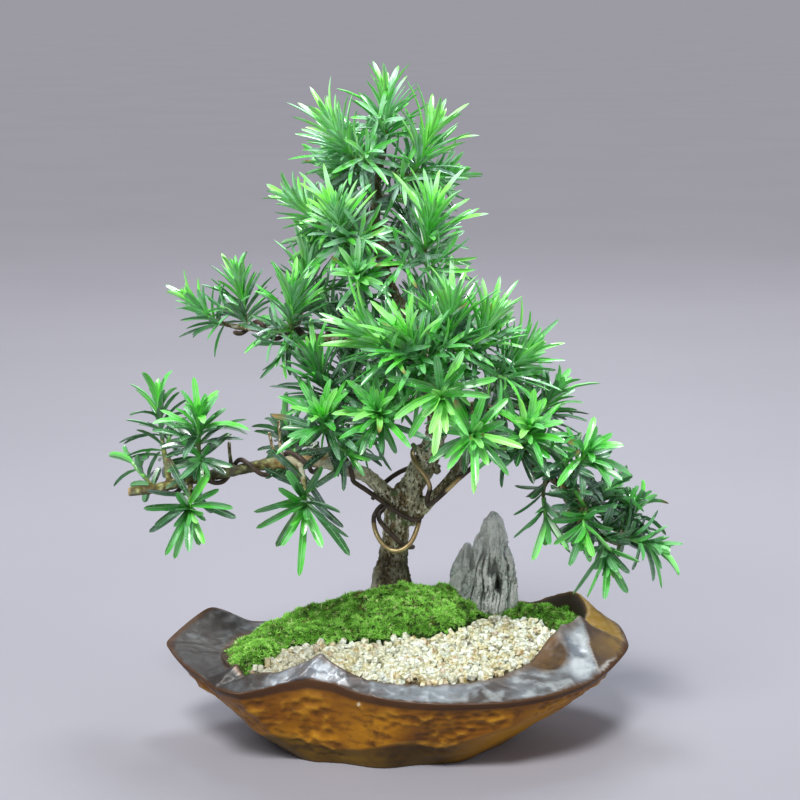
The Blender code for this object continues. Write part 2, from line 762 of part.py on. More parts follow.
def wood_rods():
    """Every stretch of limb, twig and shoot stem, as starts, ends and the radii there."""
    runs = [smooth_path(LIMBS[name], 6) for name in LIMBS]
    for _, limb, place, heading, _, _ in SHOOTS:
        runs.append(np.array(twig_rows(limb, place, heading)))
        axis, foot = unit(heading), shoot_foot(place, heading)
        runs.append(np.array([(*foot, SHOOT_RADIUS), (*(foot + axis * SHOOT_LENGTH), SHOOT_RADIUS)]))
    starts = np.concatenate([run[:-1] for run in runs])
    ends = np.concatenate([run[1:] for run in runs])
    return starts, ends


def pushed_clear(points, rods, rounds=50, last_rounds=16):
    """Moves the points of a wire out of the wood, and evens out its bends as it goes."""
    starts, ends = rods
    lines = ends[:, :3] - starts[:, :3]
    squares = (lines**2).sum(axis=1)
    for turn in range(rounds):
        if turn < rounds - last_rounds:
            points[1:-1] += 0.12 * (points[:-2] + points[2:] - 2 * points[1:-1])
        offset = points[:, None, :] - starts[None, :, :3]
        share = np.clip((offset * lines).sum(axis=2) / squares, 0, 1)
        away = offset - share[..., None] * lines
        distance = np.linalg.norm(away, axis=2)
        radius = starts[:, 3] + (ends[:, 3] - starts[:, 3]) * share
        short = radius * (1 + BARK_FLUTE) + WIRE_RADIUS + WIRE_GAP - distance
        worst = short.argmax(axis=1)
        rows = np.arange(len(points))
        step = np.clip(short[rows, worst], 0, None) / np.maximum(distance[rows, worst], 0.1)
        points += away[rows, worst] * step[:, None]
    return points


def wire_tube(name, points, finish):
    route = pushed_clear(smooth_path(points, WIRE_STEP), wood_rods())
    rows = smooth_path([(*point, WIRE_RADIUS) for point in route], WIRE_SPACING)
    wire = mesh_object(name, *tube(rows, WIRE_SIDES), finish)
    smooth_edges(wire, 50)
    return wire


def build_wires(finish):
    """Each wire is anchored on the trunk and wound out along one limb, the left one from under the fork."""
    trunk_left = coil("trunk", 0.2, 0.236, -2, 65, 2.5, 0.3)
    along_left = coil("left", 0.2, 0.88, 4.2, 270)
    trunk_right = coil("trunk", 0.375, 0.3, 1.1, 200, 1, 0.6)
    along_right = coil("right", 0.14, 0.8, 4.4, 30)
    upper = coil("trunk", 0.62, 0.585, -0.7, 170)
    along_upper = coil("upper_left", 0.16, 0.9, 3.8, 20)
    return [
        wire_tube("wire_left", trunk_left + along_left, finish),
        wire_tube("wire_right", trunk_right + along_right, finish),
        wire_tube("wire_upper", upper + along_upper, finish),
    ]


# Leafy shoots

def blade_frames(base, axis, radial, opening, length, droop):
    """Middle point, width direction and upper side at each station of a leaf that curves away from its shoot."""
    across = axis.cross(radial).normalized()
    frames, point, last = [], Vector(base), 0.0
    for share, _ in LEAF_OUTLINE:
        middle = (share + last) / 2
        angle = math.radians(opening + LEAF_RECURVE * (middle - 0.35))
        along = axis * math.cos(angle) + radial * math.sin(angle)
        along = (along + Vector((0, 0, -droop * middle))).normalized()
        point = point + along * length * (share - last)
        up = along.cross(across)
        if up.dot(axis) < 0:
            up = -up
        frames.append((point.copy(), across, up))
        last = share
    return frames


def blade_shape(frames, width, thickness, grow=0.0, start=0.0):
    """A three-sided blade: flat above, keeled below, drawn to a tip."""
    rings = []
    outline = list(LEAF_OUTLINE)
    if start:
        part = start / outline[1][0]
        frames = [tuple(a.lerp(b, part) for a, b in zip(frames[0], frames[1])), *frames[1:]]
        outline[0] = (start, mixed(outline[0][1], outline[1][1], part))
    for (point, across, up), (_, share) in zip(frames, outline):
        if share == 0:
            rings.append([point + (frames[-1][0] - frames[-2][0]).normalized() * grow])
            continue
        half = width * share * 0.5 + grow
        lift = up * grow
        rings.append([point - across * half + lift, point + across * half + lift, point - up * (thickness + grow)])
    return loft(rings)


def tree_of(points, faces):
    return BVHTree.FromPolygons([tuple(p) for p in points], [tuple(f) for f in faces])


def box_of(points, margin=0.0):
    array = np.array([tuple(p) for p in points])
    return array.min(axis=0) - margin, array.max(axis=0) + margin


def apart(a, b):
    return bool((a[0] > b[1]).any() or (b[0] > a[1]).any())


def clear_of(shape, obstacles):
    """True if the shape's skin crosses none of the obstacles."""
    box = box_of(shape[0])
    near = [tree for other, tree in obstacles if not apart(box, other)]
    if not near:
        return True
    own = tree_of(*shape)
    return not any(own.overlap(tree) for tree in near)


def obstacle(points, faces):
    return box_of(points), tree_of(points, faces)


def grow_leaves(number, row, obstacles):
    """The blades of one shoot, set in a spiral. One that would meet another piece is turned, bent or shortened."""
    _, _, place, heading, count, length = row
    draw = random.Random(SEED * 1000 + number)
    axis = unit(heading)
    foot = shoot_foot(place, heading)
    side = axis.cross(Vector((0, 0, 1)))
    side = side.normalized() if side.length > 0.1 else Vector((1, 0, 0))
    up = side.cross(axis)
    roll = draw.uniform(0, 360)
    blades, beside = [], []
    for leaf in range(count):
        share = leaf / (count - 1)
        turn = roll + leaf * GOLDEN_ANGLE + draw.uniform(-9, 9)
        opening = mixed(LOW_LEAF_OPENING, TOP_LEAF_OPENING, share**0.85) + draw.uniform(-8, 8)
        own_length = length * (0.78 + 0.3 * math.sin(math.pi * (0.2 + 0.62 * share))) * draw.uniform(0.88, 1.08)
        width = LEAF_WIDTH * draw.uniform(0.88, 1.1)
        base = foot + axis * SHOOT_LENGTH * (0.34 + 0.56 * share)
        droop = draw.uniform(0.1, 0.45)
        tries = [(s, li, t) for s in SIZES_TO_TRY for li in LIFTS_TO_TRY for t in TURNS_TO_TRY]
        for size, lift, extra in tries:
            angle = math.radians(turn + extra)
            radial = side * math.cos(angle) + up * math.sin(angle)
            frames = blade_frames(base, axis, radial, opening + lift, own_length * size, droop)
            whole = blade_shape(frames, width, LEAF_THICKNESS, CLEARANCE)
            outer = blade_shape(frames, width, LEAF_THICKNESS, SIBLING_CLEARANCE, LEAF_ROOT)
            if clear_of(outer, beside) and clear_of(whole, obstacles):
                blades.append((frames, width))
                beside.append(obstacle(*blade_shape(frames, width, LEAF_THICKNESS, 0, LEAF_ROOT)))
                break
    return blades


def shoot_stem(place, heading):
    """The green stem of a shoot, from its foot to its bud."""
    axis, foot = unit(heading), shoot_foot(place, heading)
    rows = [(0, 1), (0.94, 0.72)]
    rings = tube([(*(foot + axis * SHOOT_LENGTH * at), SHOOT_RADIUS * wide) for at, wide in rows], SHOOT_SIDES)
    points, faces = rings
    points.append(foot + axis * (SHOOT_LENGTH + 1.5))
    top = faces.pop()
    tip = len(points) - 1
    faces.extend((top[k], top[(k + 1) % len(top)], tip) for k in range(len(top)))
    return points, faces


def wood_obstacles():
    found = []
    for name in LIMBS:
        rows = limb_rows(name)
        rows[:, 3] *= 1 + 2 * BARK_FLUTE
        found.append(obstacle(*tube(rows, 8)))
    for _, limb, place, heading, _, _ in SHOOTS:
        found.append(obstacle(*tube(twig_rows(limb, place, heading), TWIG_SIDES)))
    for _, _, place, heading, _, _ in SHOOTS:
        found.append(obstacle(*shoot_stem(place, heading)))
    return found


def object_obstacle(item):
    return obstacle([v.co / MM for v in item.data.vertices], [tuple(p.vertices) for p in item.data.polygons])


def build_shoots(finish, others):
    fixed = wood_obstacles() + [object_obstacle(item) for item in others]
    stems = len(fixed) - len(SHOOTS) - len(others)
    grown, total = [], 0
    for number, row in enumerate(SHOOTS):
        name, _, place, heading, _, _ = row
        # A shoot's own twig and stem carry its leaves, so they aren't in their way.
        own = {stems - len(SHOOTS) + number, stems + number}
        around_it = [item for k, item in enumerate(fixed) if k not in own] + grown
        blades = grow_leaves(number, row, around_it)
        total += len(blades)
        stem = mesh_object(name, *shoot_stem(place, heading), finish)
        shapes = [blade_shape(frames, width, LEAF_THICKNESS) for frames, width in blades]
        grown.extend(obstacle(*shape) for shape in shapes)
        fuse(stem, [mesh_object(f"{name}_leaf_{k}", *shape) for k, shape in enumerate(shapes)])
        keep_largest_body(stem)
        smooth_edges(stem, 30)
    print(total, "leaves")


def main():
    for item in list(bpy.data.objects):
        remove(item)
    glaze = material("glaze", (0.28, 0.17, 0.09), 0.32, 0.25)
    earth = material("earth", (0.07, 0.05, 0.035), 0.95)
    moss_green = material("moss_green", (0.13, 0.27, 0.04), 0.9)
    pale_gravel = material("pale_gravel", (0.72, 0.62, 0.42), 0.6)
    grey_stone = material("grey_stone", (0.3, 0.32, 0.29), 0.85)
    bark = material("bark", (0.2, 0.15, 0.09), 0.85)
    wire = material("bronze_wire", (0.33, 0.24, 0.14), 0.4, 0.8)
    leaf = material("leaf", (0.09, 0.36, 0.06), 0.35)

    build_pot(glaze)
    stone = build_stone(grey_stone)
    wood = build_wood(bark)
    build_soil(earth, [stone, wood])
    build_moss(moss_green, [stone, wood])
    build_gravel(pale_gravel, [stone, wood])
    wires = build_wires(wire)
    build_shoots(leaf, [*wires, stone])


main()
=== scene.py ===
# Buddhist pine bonsai: glazed pot, moss, gravel, standing stone, wired tree and its leaves.
# The dictionaries are in millimetres and degrees, and the meshes are made in metres.
import math
import random

import bmesh
import bpy
import numpy as np
from mathutils import Matrix, Vector, noise
from mathutils.bvhtree import BVHTree
from mathutils.kdtree import KDTree


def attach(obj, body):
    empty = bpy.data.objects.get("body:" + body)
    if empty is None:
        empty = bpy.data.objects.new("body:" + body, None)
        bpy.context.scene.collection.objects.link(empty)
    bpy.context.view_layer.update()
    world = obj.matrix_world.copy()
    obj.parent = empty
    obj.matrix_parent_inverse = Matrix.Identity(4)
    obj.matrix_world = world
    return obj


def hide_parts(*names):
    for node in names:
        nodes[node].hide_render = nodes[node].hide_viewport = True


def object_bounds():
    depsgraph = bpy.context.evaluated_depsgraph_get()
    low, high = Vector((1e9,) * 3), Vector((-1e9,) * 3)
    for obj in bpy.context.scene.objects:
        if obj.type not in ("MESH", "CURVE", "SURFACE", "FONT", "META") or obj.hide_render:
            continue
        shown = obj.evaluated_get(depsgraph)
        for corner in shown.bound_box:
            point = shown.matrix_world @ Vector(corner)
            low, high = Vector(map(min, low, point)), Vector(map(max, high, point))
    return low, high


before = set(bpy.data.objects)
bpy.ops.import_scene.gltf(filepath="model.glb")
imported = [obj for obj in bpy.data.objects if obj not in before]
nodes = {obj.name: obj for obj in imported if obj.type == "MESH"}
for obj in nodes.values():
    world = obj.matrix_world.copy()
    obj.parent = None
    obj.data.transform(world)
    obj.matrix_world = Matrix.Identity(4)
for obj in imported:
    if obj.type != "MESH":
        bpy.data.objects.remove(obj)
cadBox = [list(corner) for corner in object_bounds()]
mm = 0.001
noise.seed_set(12)  # without it the noise vectors start elsewhere on each run
print("frame loaded:", len(nodes), "nodes")


# Small helpers

def choose(piece):
    bpy.ops.object.select_all(action="DESELECT")
    piece.select_set(True)
    bpy.context.view_layer.objects.active = piece


def applyModifiers(piece):
    choose(piece)
    for modifier in list(piece.modifiers):
        bpy.ops.object.modifier_apply(modifier=modifier.name)


def joinAll(pieces, name):
    bpy.ops.object.select_all(action="DESELECT")
    for piece in pieces:
        piece.select_set(True)
    bpy.context.view_layer.objects.active = pieces[0]
    if len(pieces) > 1:
        bpy.ops.object.join()
    pieces[0].name = name
    pieces[0].data.name = name
    return pieces[0]


def subdivide(piece, levels):
    smooth = piece.modifiers.new("smooth", "SUBSURF")
    smooth.levels = smooth.render_levels = levels
    applyModifiers(piece)


def handOver(piece, name, finish, slot, *cadNodes):
    # gives a finished piece its name, material and body, and hides the CAD nodes it stands for; the slot is
    # not used
    piece.name = name
    piece.data.name = name
    piece.data.materials.clear()
    piece.data.materials.append(finish)
    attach(piece, "root")
    if cadNodes:
        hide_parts(*cadNodes)
    return piece


def smoothShading(piece, angle=None):
    # smooth all over, or only across edges that are flatter than the angle
    choose(piece)
    if angle:
        bpy.ops.object.shade_smooth_by_angle(angle=math.radians(angle))
    else:
        bpy.ops.object.shade_smooth()


def mixed(first, second, share):
    return first + (second - first) * share


def smoothStep(value, low, high):
    share = max(0.0, min(1.0, (value - low) / (high - low)))
    return share * share * (3 - 2 * share)


def band(value, rise, full, fade, gone):
    # up from 0 to 1 between the first two values, and back to 0 between the last two
    return smoothStep(value, rise, full) * (1 - smoothStep(value, fade, gone))


def bumps(point, *layers):
    # noise of several sizes: each layer is the width of its bumps and how high they are
    return sum(noise.noise(point / width) * tall for width, tall in layers)


def floatAttribute(piece, name, values):
    layer = piece.data.attributes.get(name) or piece.data.attributes.new(name, "FLOAT", "POINT")
    layer.data.foreach_set("value", np.array(values, np.float32))


def attributeValues(piece, name):
    values = np.zeros(len(piece.data.vertices), np.float32)
    piece.data.attributes[name].data.foreach_get("value", values)
    return values


def carve(piece, height, keepAs=None):
    # moves each vertex along its normal, and can keep how far it went for the material
    mesh = piece.data
    heights = [height(vertex.co / mm, vertex.normal.copy(), vertex.index) for vertex in mesh.vertices]
    moved = [vertex.co + vertex.normal * (rise * mm) for vertex, rise in zip(mesh.vertices, heights)]
    mesh.vertices.foreach_set("co", np.array(moved, np.float32).ravel())
    mesh.update()
    if keepAs:
        floatAttribute(piece, keepAs, heights)


def fuse(piece, voxel, rounds):
    # one even skin over all that overlaps, smoothed a few times
    remesh = piece.modifiers.new("remesh", "REMESH")
    remesh.mode, remesh.voxel_size = "VOXEL", voxel * mm
    smooth = piece.modifiers.new("smooth", "SMOOTH")
    smooth.factor, smooth.iterations = 0.5, rounds
    applyModifiers(piece)


def pointFinder(points):
    finder = KDTree(len(points))
    for index, point in enumerate(points):
        finder.insert(point, index)
    finder.balance()
    return finder


def meshTree(mesh):
    points = [vertex.co for vertex in mesh.vertices]
    return BVHTree.FromPolygons(points, [face.vertices for face in mesh.polygons])


def straightDown(tree, x, y):
    # where a plumb line from above meets a mesh, and the normal there
    return tree.ray_cast(Vector((x, y, 200)) * mm, Vector((0, 0, -1)))[:2]


def extrudeRings(name, rings, levels=None, tip=False):
    # a circle, extruded ring by ring; each vertex keeps the level of its ring
    count, levels = len(rings[0]), levels or list(range(len(rings)))
    bpy.ops.object.select_all(action="DESELECT")
    bpy.ops.mesh.primitive_circle_add(vertices=count, radius=1)
    piece = bpy.context.object
    piece.name = name
    mesh = piece.data
    bpy.ops.object.mode_set(mode="EDIT")
    work = bmesh.from_edit_mesh(mesh)
    level = work.verts.layers.float.new("level")
    for vertex, point in zip(work.verts, rings[0]):
        vertex.co = Vector(point) * mm
        vertex[level] = levels[0]
    bmesh.update_edit_mesh(mesh)
    bpy.ops.mesh.edge_face_add()
    for number in range(1, len(rings)):
        bpy.ops.mesh.extrude_edges_move()
        finder = pointFinder([Vector(point) * mm for point in rings[number - 1]])
        work = bmesh.from_edit_mesh(mesh)
        level = work.verts.layers.float["level"]
        for vertex in work.verts:
            if vertex.select:
                vertex.co = Vector(rings[number][finder.find(vertex.co)[1]]) * mm
                vertex[level] = levels[number]
        bmesh.update_edit_mesh(mesh)
    if tip:
        bpy.ops.mesh.merge(type="CENTER")
    else:
        bpy.ops.mesh.edge_face_add()
    bpy.ops.mesh.select_all(action="SELECT")
    bpy.ops.mesh.normals_make_consistent(inside=False)
    bpy.ops.object.mode_set(mode="OBJECT")
    return piece


def roundRod(name, rows, roundness=3):
    # a rod along rows of x, y, z and radius
    curve = bpy.data.curves.new(name, "CURVE")
    curve.dimensions = "3D"
    curve.bevel_depth = mm
    curve.bevel_resolution = roundness
    curve.use_fill_caps = True
    spline = curve.splines.new("POLY")
    spline.points.add(len(rows) - 1)
    for point, row in zip(spline.points, rows):
        point.co = (row[0] * mm, row[1] * mm, row[2] * mm, 1)
        point.radius = row[3]
    rod = bpy.data.objects.new(name, curve)
    bpy.context.collection.objects.link(rod)
    choose(rod)
    bpy.ops.object.convert(target="MESH")
    return bpy.context.object


def curveBetween(before, start, end, after, share):
    # a smooth curve from start to end that heeds the rows before and after them
    even = 2 * start + (end - before) * share
    bend = (2 * before - 5 * start + 4 * end - after) * share * share
    bend += (3 * start - before - 3 * end + after) * share**3
    return 0.5 * (even + bend)


def smoothPath(rows, spacing, steps=12):
    # evenly spaced rows along a smooth curve through the given ones
    rows = [np.array(row, float) for row in rows]
    ends = [2 * rows[0] - rows[1], *rows, 2 * rows[-1] - rows[-2]]
    dense = []
    for before, start, end, after in zip(ends, ends[1:], ends[2:], ends[3:]):
        dense.extend(curveBetween(before, start, end, after, step / steps) for step in range(steps))
    dense = np.array([*dense, rows[-1]])
    run = np.concatenate([[0], np.cumsum(np.linalg.norm(np.diff(dense[:, :3], axis=0), axis=1))])
    places = np.linspace(0, run[-1], max(2, round(run[-1] / spacing) + 1))
    return np.stack([np.interp(places, run, column) for column in dense.T], axis=1)


def nodeTree(name):
    return meshTree(nodes[name].data)


def stamp(name, models, placings, tones):
    # one mesh of many copies: each placing is the number of its model and its matrix
    shapes = []
    for model in models:
        corners = np.empty(len(model.data.vertices) * 3, np.float32)
        model.data.vertices.foreach_get("co", corners)
        polygons = [tuple(face.vertices) for face in model.data.polygons]
        shapes.append((corners.reshape(-1, 3), polygons, attributeValues(model, "level")))
    points, faces, toneValues, levelValues, start = [], [], [], [], 0
    for (which, matrix), tone in zip(placings, tones):
        corners, polygons, levels = shapes[which]
        turn = np.array(matrix.to_3x3(), np.float32)
        points.append(corners @ turn.T + np.array(matrix.translation, np.float32))
        faces.extend([tuple(start + index for index in polygon) for polygon in polygons])
        toneValues.append(np.full(len(corners), tone, np.float32))
        levelValues.append(levels)
        start += len(corners)
    mesh = bpy.data.meshes.new(name)
    mesh.from_pydata(np.concatenate(points).tolist(), [], faces)
    piece = bpy.data.objects.new(name, mesh)
    bpy.context.collection.objects.link(piece)
    floatAttribute(piece, "tone", np.concatenate(toneValues))
    floatAttribute(piece, "level", np.concatenate(levelValues))
    for model in models:
        bpy.data.objects.remove(model)
    return piece


# Materials: what several of them use is a group that puts out colours, masks and heights

def newGroup(name, inputs, outputs):
    group = bpy.data.node_groups.new(name, "ShaderNodeTree")
    for label, kind in inputs.items():
        group.interface.new_socket(name=label, in_out="INPUT", socket_type="NodeSocket" + kind)
    for label, kind in outputs.items():
        group.interface.new_socket(name=label, in_out="OUTPUT", socket_type="NodeSocket" + kind)
    return group, group.nodes.new("NodeGroupInput"), group.nodes.new("NodeGroupOutput")


def mottleGroup():
    # two colours in noisy patches
    group, start, end = newGroup(
        "mottle",
        {"Vector": "Vector", "Scale": "Float", "Detail": "Float", "Low": "Float", "High": "Float",
         "First": "Color", "Second": "Color"},
        {"Color": "Color", "Mask": "Float"},
    )
    patches = group.nodes.new("ShaderNodeTexNoise")
    spread = group.nodes.new("ShaderNodeMapRange")
    blend = group.nodes.new("ShaderNodeMixRGB")
    link = group.links.new
    for label in ("Vector", "Scale", "Detail"):
        link(start.outputs[label], patches.inputs[label])
    link(patches.outputs["Fac"], spread.inputs["Value"])
    link(start.outputs["Low"], spread.inputs["From Min"])
    link(start.outputs["High"], spread.inputs["From Max"])
    link(spread.outputs["Result"], blend.inputs["Fac"])
    link(start.outputs["First"], blend.inputs["Color1"])
    link(start.outputs["Second"], blend.inputs["Color2"])
    link(blend.outputs["Color"], end.inputs["Color"])
    link(spread.outputs["Result"], end.inputs["Mask"])
    return group


def roughSkinGroup():
    # coarse bumps, and fine ones on them, as a height
    finer = 5.3
    group, start, end = newGroup(
        "roughSkin", {"Vector": "Vector", "Scale": "Float", "Fine": "Float"}, {"Height": "Float"}
    )
    link = group.links.new
    coarse = group.nodes.new("ShaderNodeTexNoise")
    fine = group.nodes.new("ShaderNodeTexNoise")
    faster = group.nodes.new("ShaderNodeMath")
    faster.operation = "MULTIPLY"
    faster.inputs[1].default_value = finer
    weaker = group.nodes.new("ShaderNodeMath")
    weaker.operation = "MULTIPLY"
    total = group.nodes.new("ShaderNodeMath")
    total.operation = "ADD"
    for texture in (coarse, fine):
        link(start.outputs["Vector"], texture.inputs["Vector"])
        texture.inputs["Detail"].default_value = 4
    link(start.outputs["Scale"], coarse.inputs["Scale"])
    link(start.outputs["Scale"], faster.inputs[0])
    link(faster.outputs["Value"], fine.inputs["Scale"])
    link(fine.outputs["Fac"], weaker.inputs[0])
    link(start.outputs["Fine"], weaker.inputs[1])
    link(coarse.outputs["Fac"], total.inputs[0])
    link(weaker.outputs["Value"], total.inputs[1])
    link(total.outputs["Value"], end.inputs["Height"])
    return group


mottle = mottleGroup()
roughSkin = roughSkinGroup()


class Finish:
    # one Principled material and the few steps that its pattern is made of

    def __init__(self, name, **sockets):
        self.material = bpy.data.materials.new(name)
        self.material.use_nodes = True
        self.tree = self.material.node_tree
        self.shader = self.tree.nodes["Principled BSDF"]
        for label, value in sockets.items():
            self.shader.inputs[label.replace("_", " ")].default_value = value
        self.place = self.tree.nodes.new("ShaderNodeTexCoord").outputs["Object"]

    def feed(self, socket, value):
        # an output is linked, and a colour or a number is set
        if isinstance(value, bpy.types.NodeSocket):
            self.tree.links.new(value, socket)
        elif value is not None:
            socket.default_value = (*value, 1) if isinstance(value, tuple) else value

    def attribute(self, name):
        node = self.tree.nodes.new("ShaderNodeAttribute")
        node.attribute_name = name
        return node.outputs["Fac"]

    def apart(self, vector):
        node = self.tree.nodes.new("ShaderNodeSeparateXYZ")
        self.feed(node.inputs["Vector"], vector)
        return node.outputs["X"], node.outputs["Y"], node.outputs["Z"]

    def stretched(self, x, y, z):
        node = self.tree.nodes.new("ShaderNodeMapping")
        node.inputs["Scale"].default_value = (x, y, z)
        self.feed(node.inputs["Vector"], self.place)
        return node.outputs["Vector"]

    def patchNode(self, scale, low, high, detail, vector, first=None, second=None):
        node = self.tree.nodes.new("ShaderNodeGroup")
        node.node_tree = mottle
        values = {"Vector": vector or self.place, "Scale": scale, "Detail": detail, "Low": low, "High": high,
                  "First": first, "Second": second}
        for label, value in values.items():
            self.feed(node.inputs[label], value)
        return node

    def patches(self, first, second, scale, low, high, detail=3, vector=None):
        # patches of a second colour on the first, so many to a metre
        return self.patchNode(scale, low, high, detail, vector, first, second).outputs["Color"]

    def mask(self, scale, low, high, detail=3):
        return self.patchNode(scale, low, high, detail, None).outputs["Mask"]

    def blend(self, share, first, second):
        node = self.tree.nodes.new("ShaderNodeMixRGB")
        for label, value in (("Fac", share), ("Color1", first), ("Color2", second)):
            self.feed(node.inputs[label], value)
        return node.outputs["Color"]

    def fade(self, first, second, value, low, high, most=1.0):
        # the second colour comes in over the first while a value goes from low to high
        return self.blend(self.spread(value, low, high, 0, most), first, second)

    def spread(self, value, low, high, first=0.0, second=1.0):
        node = self.tree.nodes.new("ShaderNodeMapRange")
        self.feed(node.inputs["Value"], value)
        for label, number in (("From Min", low), ("From Max", high), ("To Min", first), ("To Max", second)):
            self.feed(node.inputs[label], number)
        return node.outputs["Result"]

    def spot(self, place, inner, outer):
        # 1 within the inner reach of a place and 0 beyond the outer one
        node = self.tree.nodes.new("ShaderNodeVectorMath")
        node.operation = "DISTANCE"
        self.feed(node.inputs[0], self.place)
        node.inputs[1].default_value = Vector(place) * mm
        return self.spread(node.outputs["Value"], outer * mm, inner * mm)

    def math(self, operation, first, second):
        node = self.tree.nodes.new("ShaderNodeMath")
        node.operation = operation
        self.feed(node.inputs[0], first)
        self.feed(node.inputs[1], second)
        return node.outputs["Value"]

    def times(self, first, second):
        return self.math("MULTIPLY", first, second)

    def awayFrom(self, value, middle):
        return self.math("ABSOLUTE", self.math("SUBTRACT", value, middle), 0)

    def ramp(self, value, stops, steps=False):
        node = self.tree.nodes.new("ShaderNodeValToRGB")
        if steps:
            node.color_ramp.interpolation = "CONSTANT"
        while len(node.color_ramp.elements) < len(stops):
            node.color_ramp.elements.new(1)
        for element, (place, colour) in zip(node.color_ramp.elements, stops):
            element.position = place
            element.color = (*colour, 1)
        self.feed(node.inputs["Fac"], value)
        return node.outputs["Color"]

    def skin(self, scale, fine, strength, distance, vector=None):
        group = self.tree.nodes.new("ShaderNodeGroup")
        group.node_tree = roughSkin
        for label, value in (("Vector", vector or self.place), ("Scale", scale), ("Fine", fine)):
            self.feed(group.inputs[label], value)
        bump = self.tree.nodes.new("ShaderNodeBump")
        bump.inputs["Strength"].default_value = strength
        bump.inputs["Distance"].default_value = distance * mm
        self.feed(bump.inputs["Height"], group.outputs["Height"])
        self.feed(self.shader.inputs["Normal"], bump.outputs["Normal"])

    def colour(self, value):
        self.feed(self.shader.inputs["Base Color"], value)

    def rough(self, value):
        self.feed(self.shader.inputs["Roughness"], value)

    def metal(self, value):
        self.feed(self.shader.inputs["Metallic"], value)


# Pot: an oval stoneware bowl with a carved body and a folded, hammered rim

pot = {
    # the rim's turning points, from the left tip round by the front: angle, radius and height of the
    # shoulder, radius and height of the inner ridge, height of the crease that is carved round the body
    "rim": [
        (-180, 123, 51, 89, 47, 21), (-172, 116, 48, 88, 45, 23), (-165, 108, 45, 88, 45, 22),
        (-160, 105, 42, 89, 52, 20), (-155, 103, 41, 86, 47, 17), (-150, 107, 46, 84, 51, 15),
        (-143, 100, 45, 76, 53, 18),
        (-137, 78, 48, 66, 57, 16), (-130, 67, 50, 58, 62, 12), (-118, 62, 49, 55, 57, 10),
        (-105, 63, 46, 54, 52, 12), (-90, 66, 44, 55, 50, 17), (-75, 72, 43, 59, 50, 17),
        (-60, 82, 43, 67, 50, 15), (-45, 98, 44, 73, 50, 27), (-33, 109, 45, 76, 50, 32),
        (-24, 117, 46, 80, 51, 30), (-17, 121, 46, 85, 53, 32), (-8, 127, 47, 93, 64, 36),
        (3, 137, 50, 108, 68, 38), (9, 139, 51, 113, 60, 36), (18, 141, 53, 122, 65, 32),
        (28, 135, 54, 124, 69, 28), (38, 121, 52, 108, 60, 24), (50, 103, 50, 92, 54, 19),
        (68, 88, 50, 79, 52, 14), (90, 82, 49, 73, 51, 12), (112, 80, 50, 71, 51, 16),
        (135, 84, 50, 75, 50, 20), (150, 93, 54, 82, 50, 27), (162, 108, 67, 87, 50, 31),
        (173, 127, 52, 89, 46, 24),
    ],
    "columns": 5, "rimSmoothness": 0.45,
    "foot": (66, 50), "footWaves": (8, 0.4, 0.035),  # radii of the oval foot, and the waves of its edge
    "floor": 8, "wallFootInset": 9, "ridgeWidth": 3,
    "creaseBulge": 2.4, "bellyBulge": 1.7,
    "facets": [(7, 1.1, 1.3), (11, 0, 0.8)],  # waves round the body: how many, where they start, how high
    # where the hammered lip and the carved body begin and end, in levels of the rings
    "lipBand": (3.03, 3.14, 4.02, 4.2), "bodyBand": (0.25, 0.5, 2.6, 2.95),
    # folds across the rim: angle at the shoulder, angle at the ridge, height and half width
    "folds": [
        (-16, 3, 2.4, 7), (-30, -5, 2.0, 6), (-157, -159, 1.4, 4), (-134, -129, 1.2, 5),
        (177, 170, 1.2, 7),
        (50, 42, 1.6, 7), (104, 96, 1.2, 7), (140, 131, 1.4, 7),
    ],
    "wing": (-16, 3, 46),  # the brown side of the right wing: its start at shoulder and ridge, and its end
    "swell": (-36, 27, 4.5),  # the body bulges low at the right: angle, half width and how far
    "bodyDent": (6.4, 2.0), "lipDent": (5.2, 0.85),  # width and depth
    "chip": (-16, -62, 39.4),
    "innerFacet": (87, -24, 57),  # the brown facet that looks over the gravel
    "block": (110, -21, 55),  # the facet at its right, painted bright as a highlight
    # colours of the body, with painted shade in its dents and painted highlight on their rims, of the olive
    # foot darkened as painted shade with painted bounce light at its right, of the painted highlight along
    # the crease above it, and of the painted shadow in the band under the rim
    "ochre": (0.40, 0.175, 0.005), "rust": (0.22, 0.078, 0.003), "scorch": (0.10, 0.036, 0.004),
    "dentFloorShade": (0.115, 0.042, 0.003), "dentRimHighlight": (0.52, 0.26, 0.015),
    "shadedOlive": (0.095, 0.058, 0.007), "shadedOliveDark": (0.030, 0.018, 0.004), "amberBounceLight": (0.46, 0.215, 0.006),
    "creaseHighlight": (0.42, 0.23, 0.03), "underRimShadow": (0.115, 0.042, 0.005), "rimEdgeShadow": (0.045, 0.020, 0.009),
    "inside": (0.060, 0.042, 0.030),
    # colours of the silvery lip, with painted highlight and shade in its dents, painted shade on the left
    # wing and painted light at the right, and of its two facets at the right, the bright one painted as a
    # highlight
    "pewter": (0.105, 0.093, 0.088), "silver": (0.25, 0.28, 0.305), "lipDentHighlight": (0.50, 0.56, 0.60),
    "lipDentShade": (0.09, 0.065, 0.05), "leftWingShade": (0.046, 0.041, 0.037), "lit": (0.66, 0.70, 0.70),
    "blockHighlightDark": (0.22, 0.25, 0.29), "blockHighlightBright": (0.70, 0.76, 0.81),
    "facetBrown": (0.13, 0.075, 0.03), "facetDark": (0.055, 0.035, 0.02),
    "ridgeBrown": (0.16, 0.095, 0.05), "shoulderBrown": (0.085, 0.060, 0.046),
    # colours of the brown wing, of the seam along its fold with a painted highlight near the bright facet,
    # and of the chip
    "wingGold": (0.34, 0.205, 0.030), "wingBrown": (0.085, 0.050, 0.020), "wingFleck": (0.34, 0.28, 0.16),
    "wingShade": (0.070, 0.050, 0.042), "seamDark": (0.075, 0.048, 0.032), "seamHighlight": (0.62, 0.62, 0.60),
    "chipBuff": (0.60, 0.54, 0.42),
}


def around(radius, angle, height):
    turn = math.radians(angle)
    return Vector((radius * math.cos(turn), radius * math.sin(turn), height))


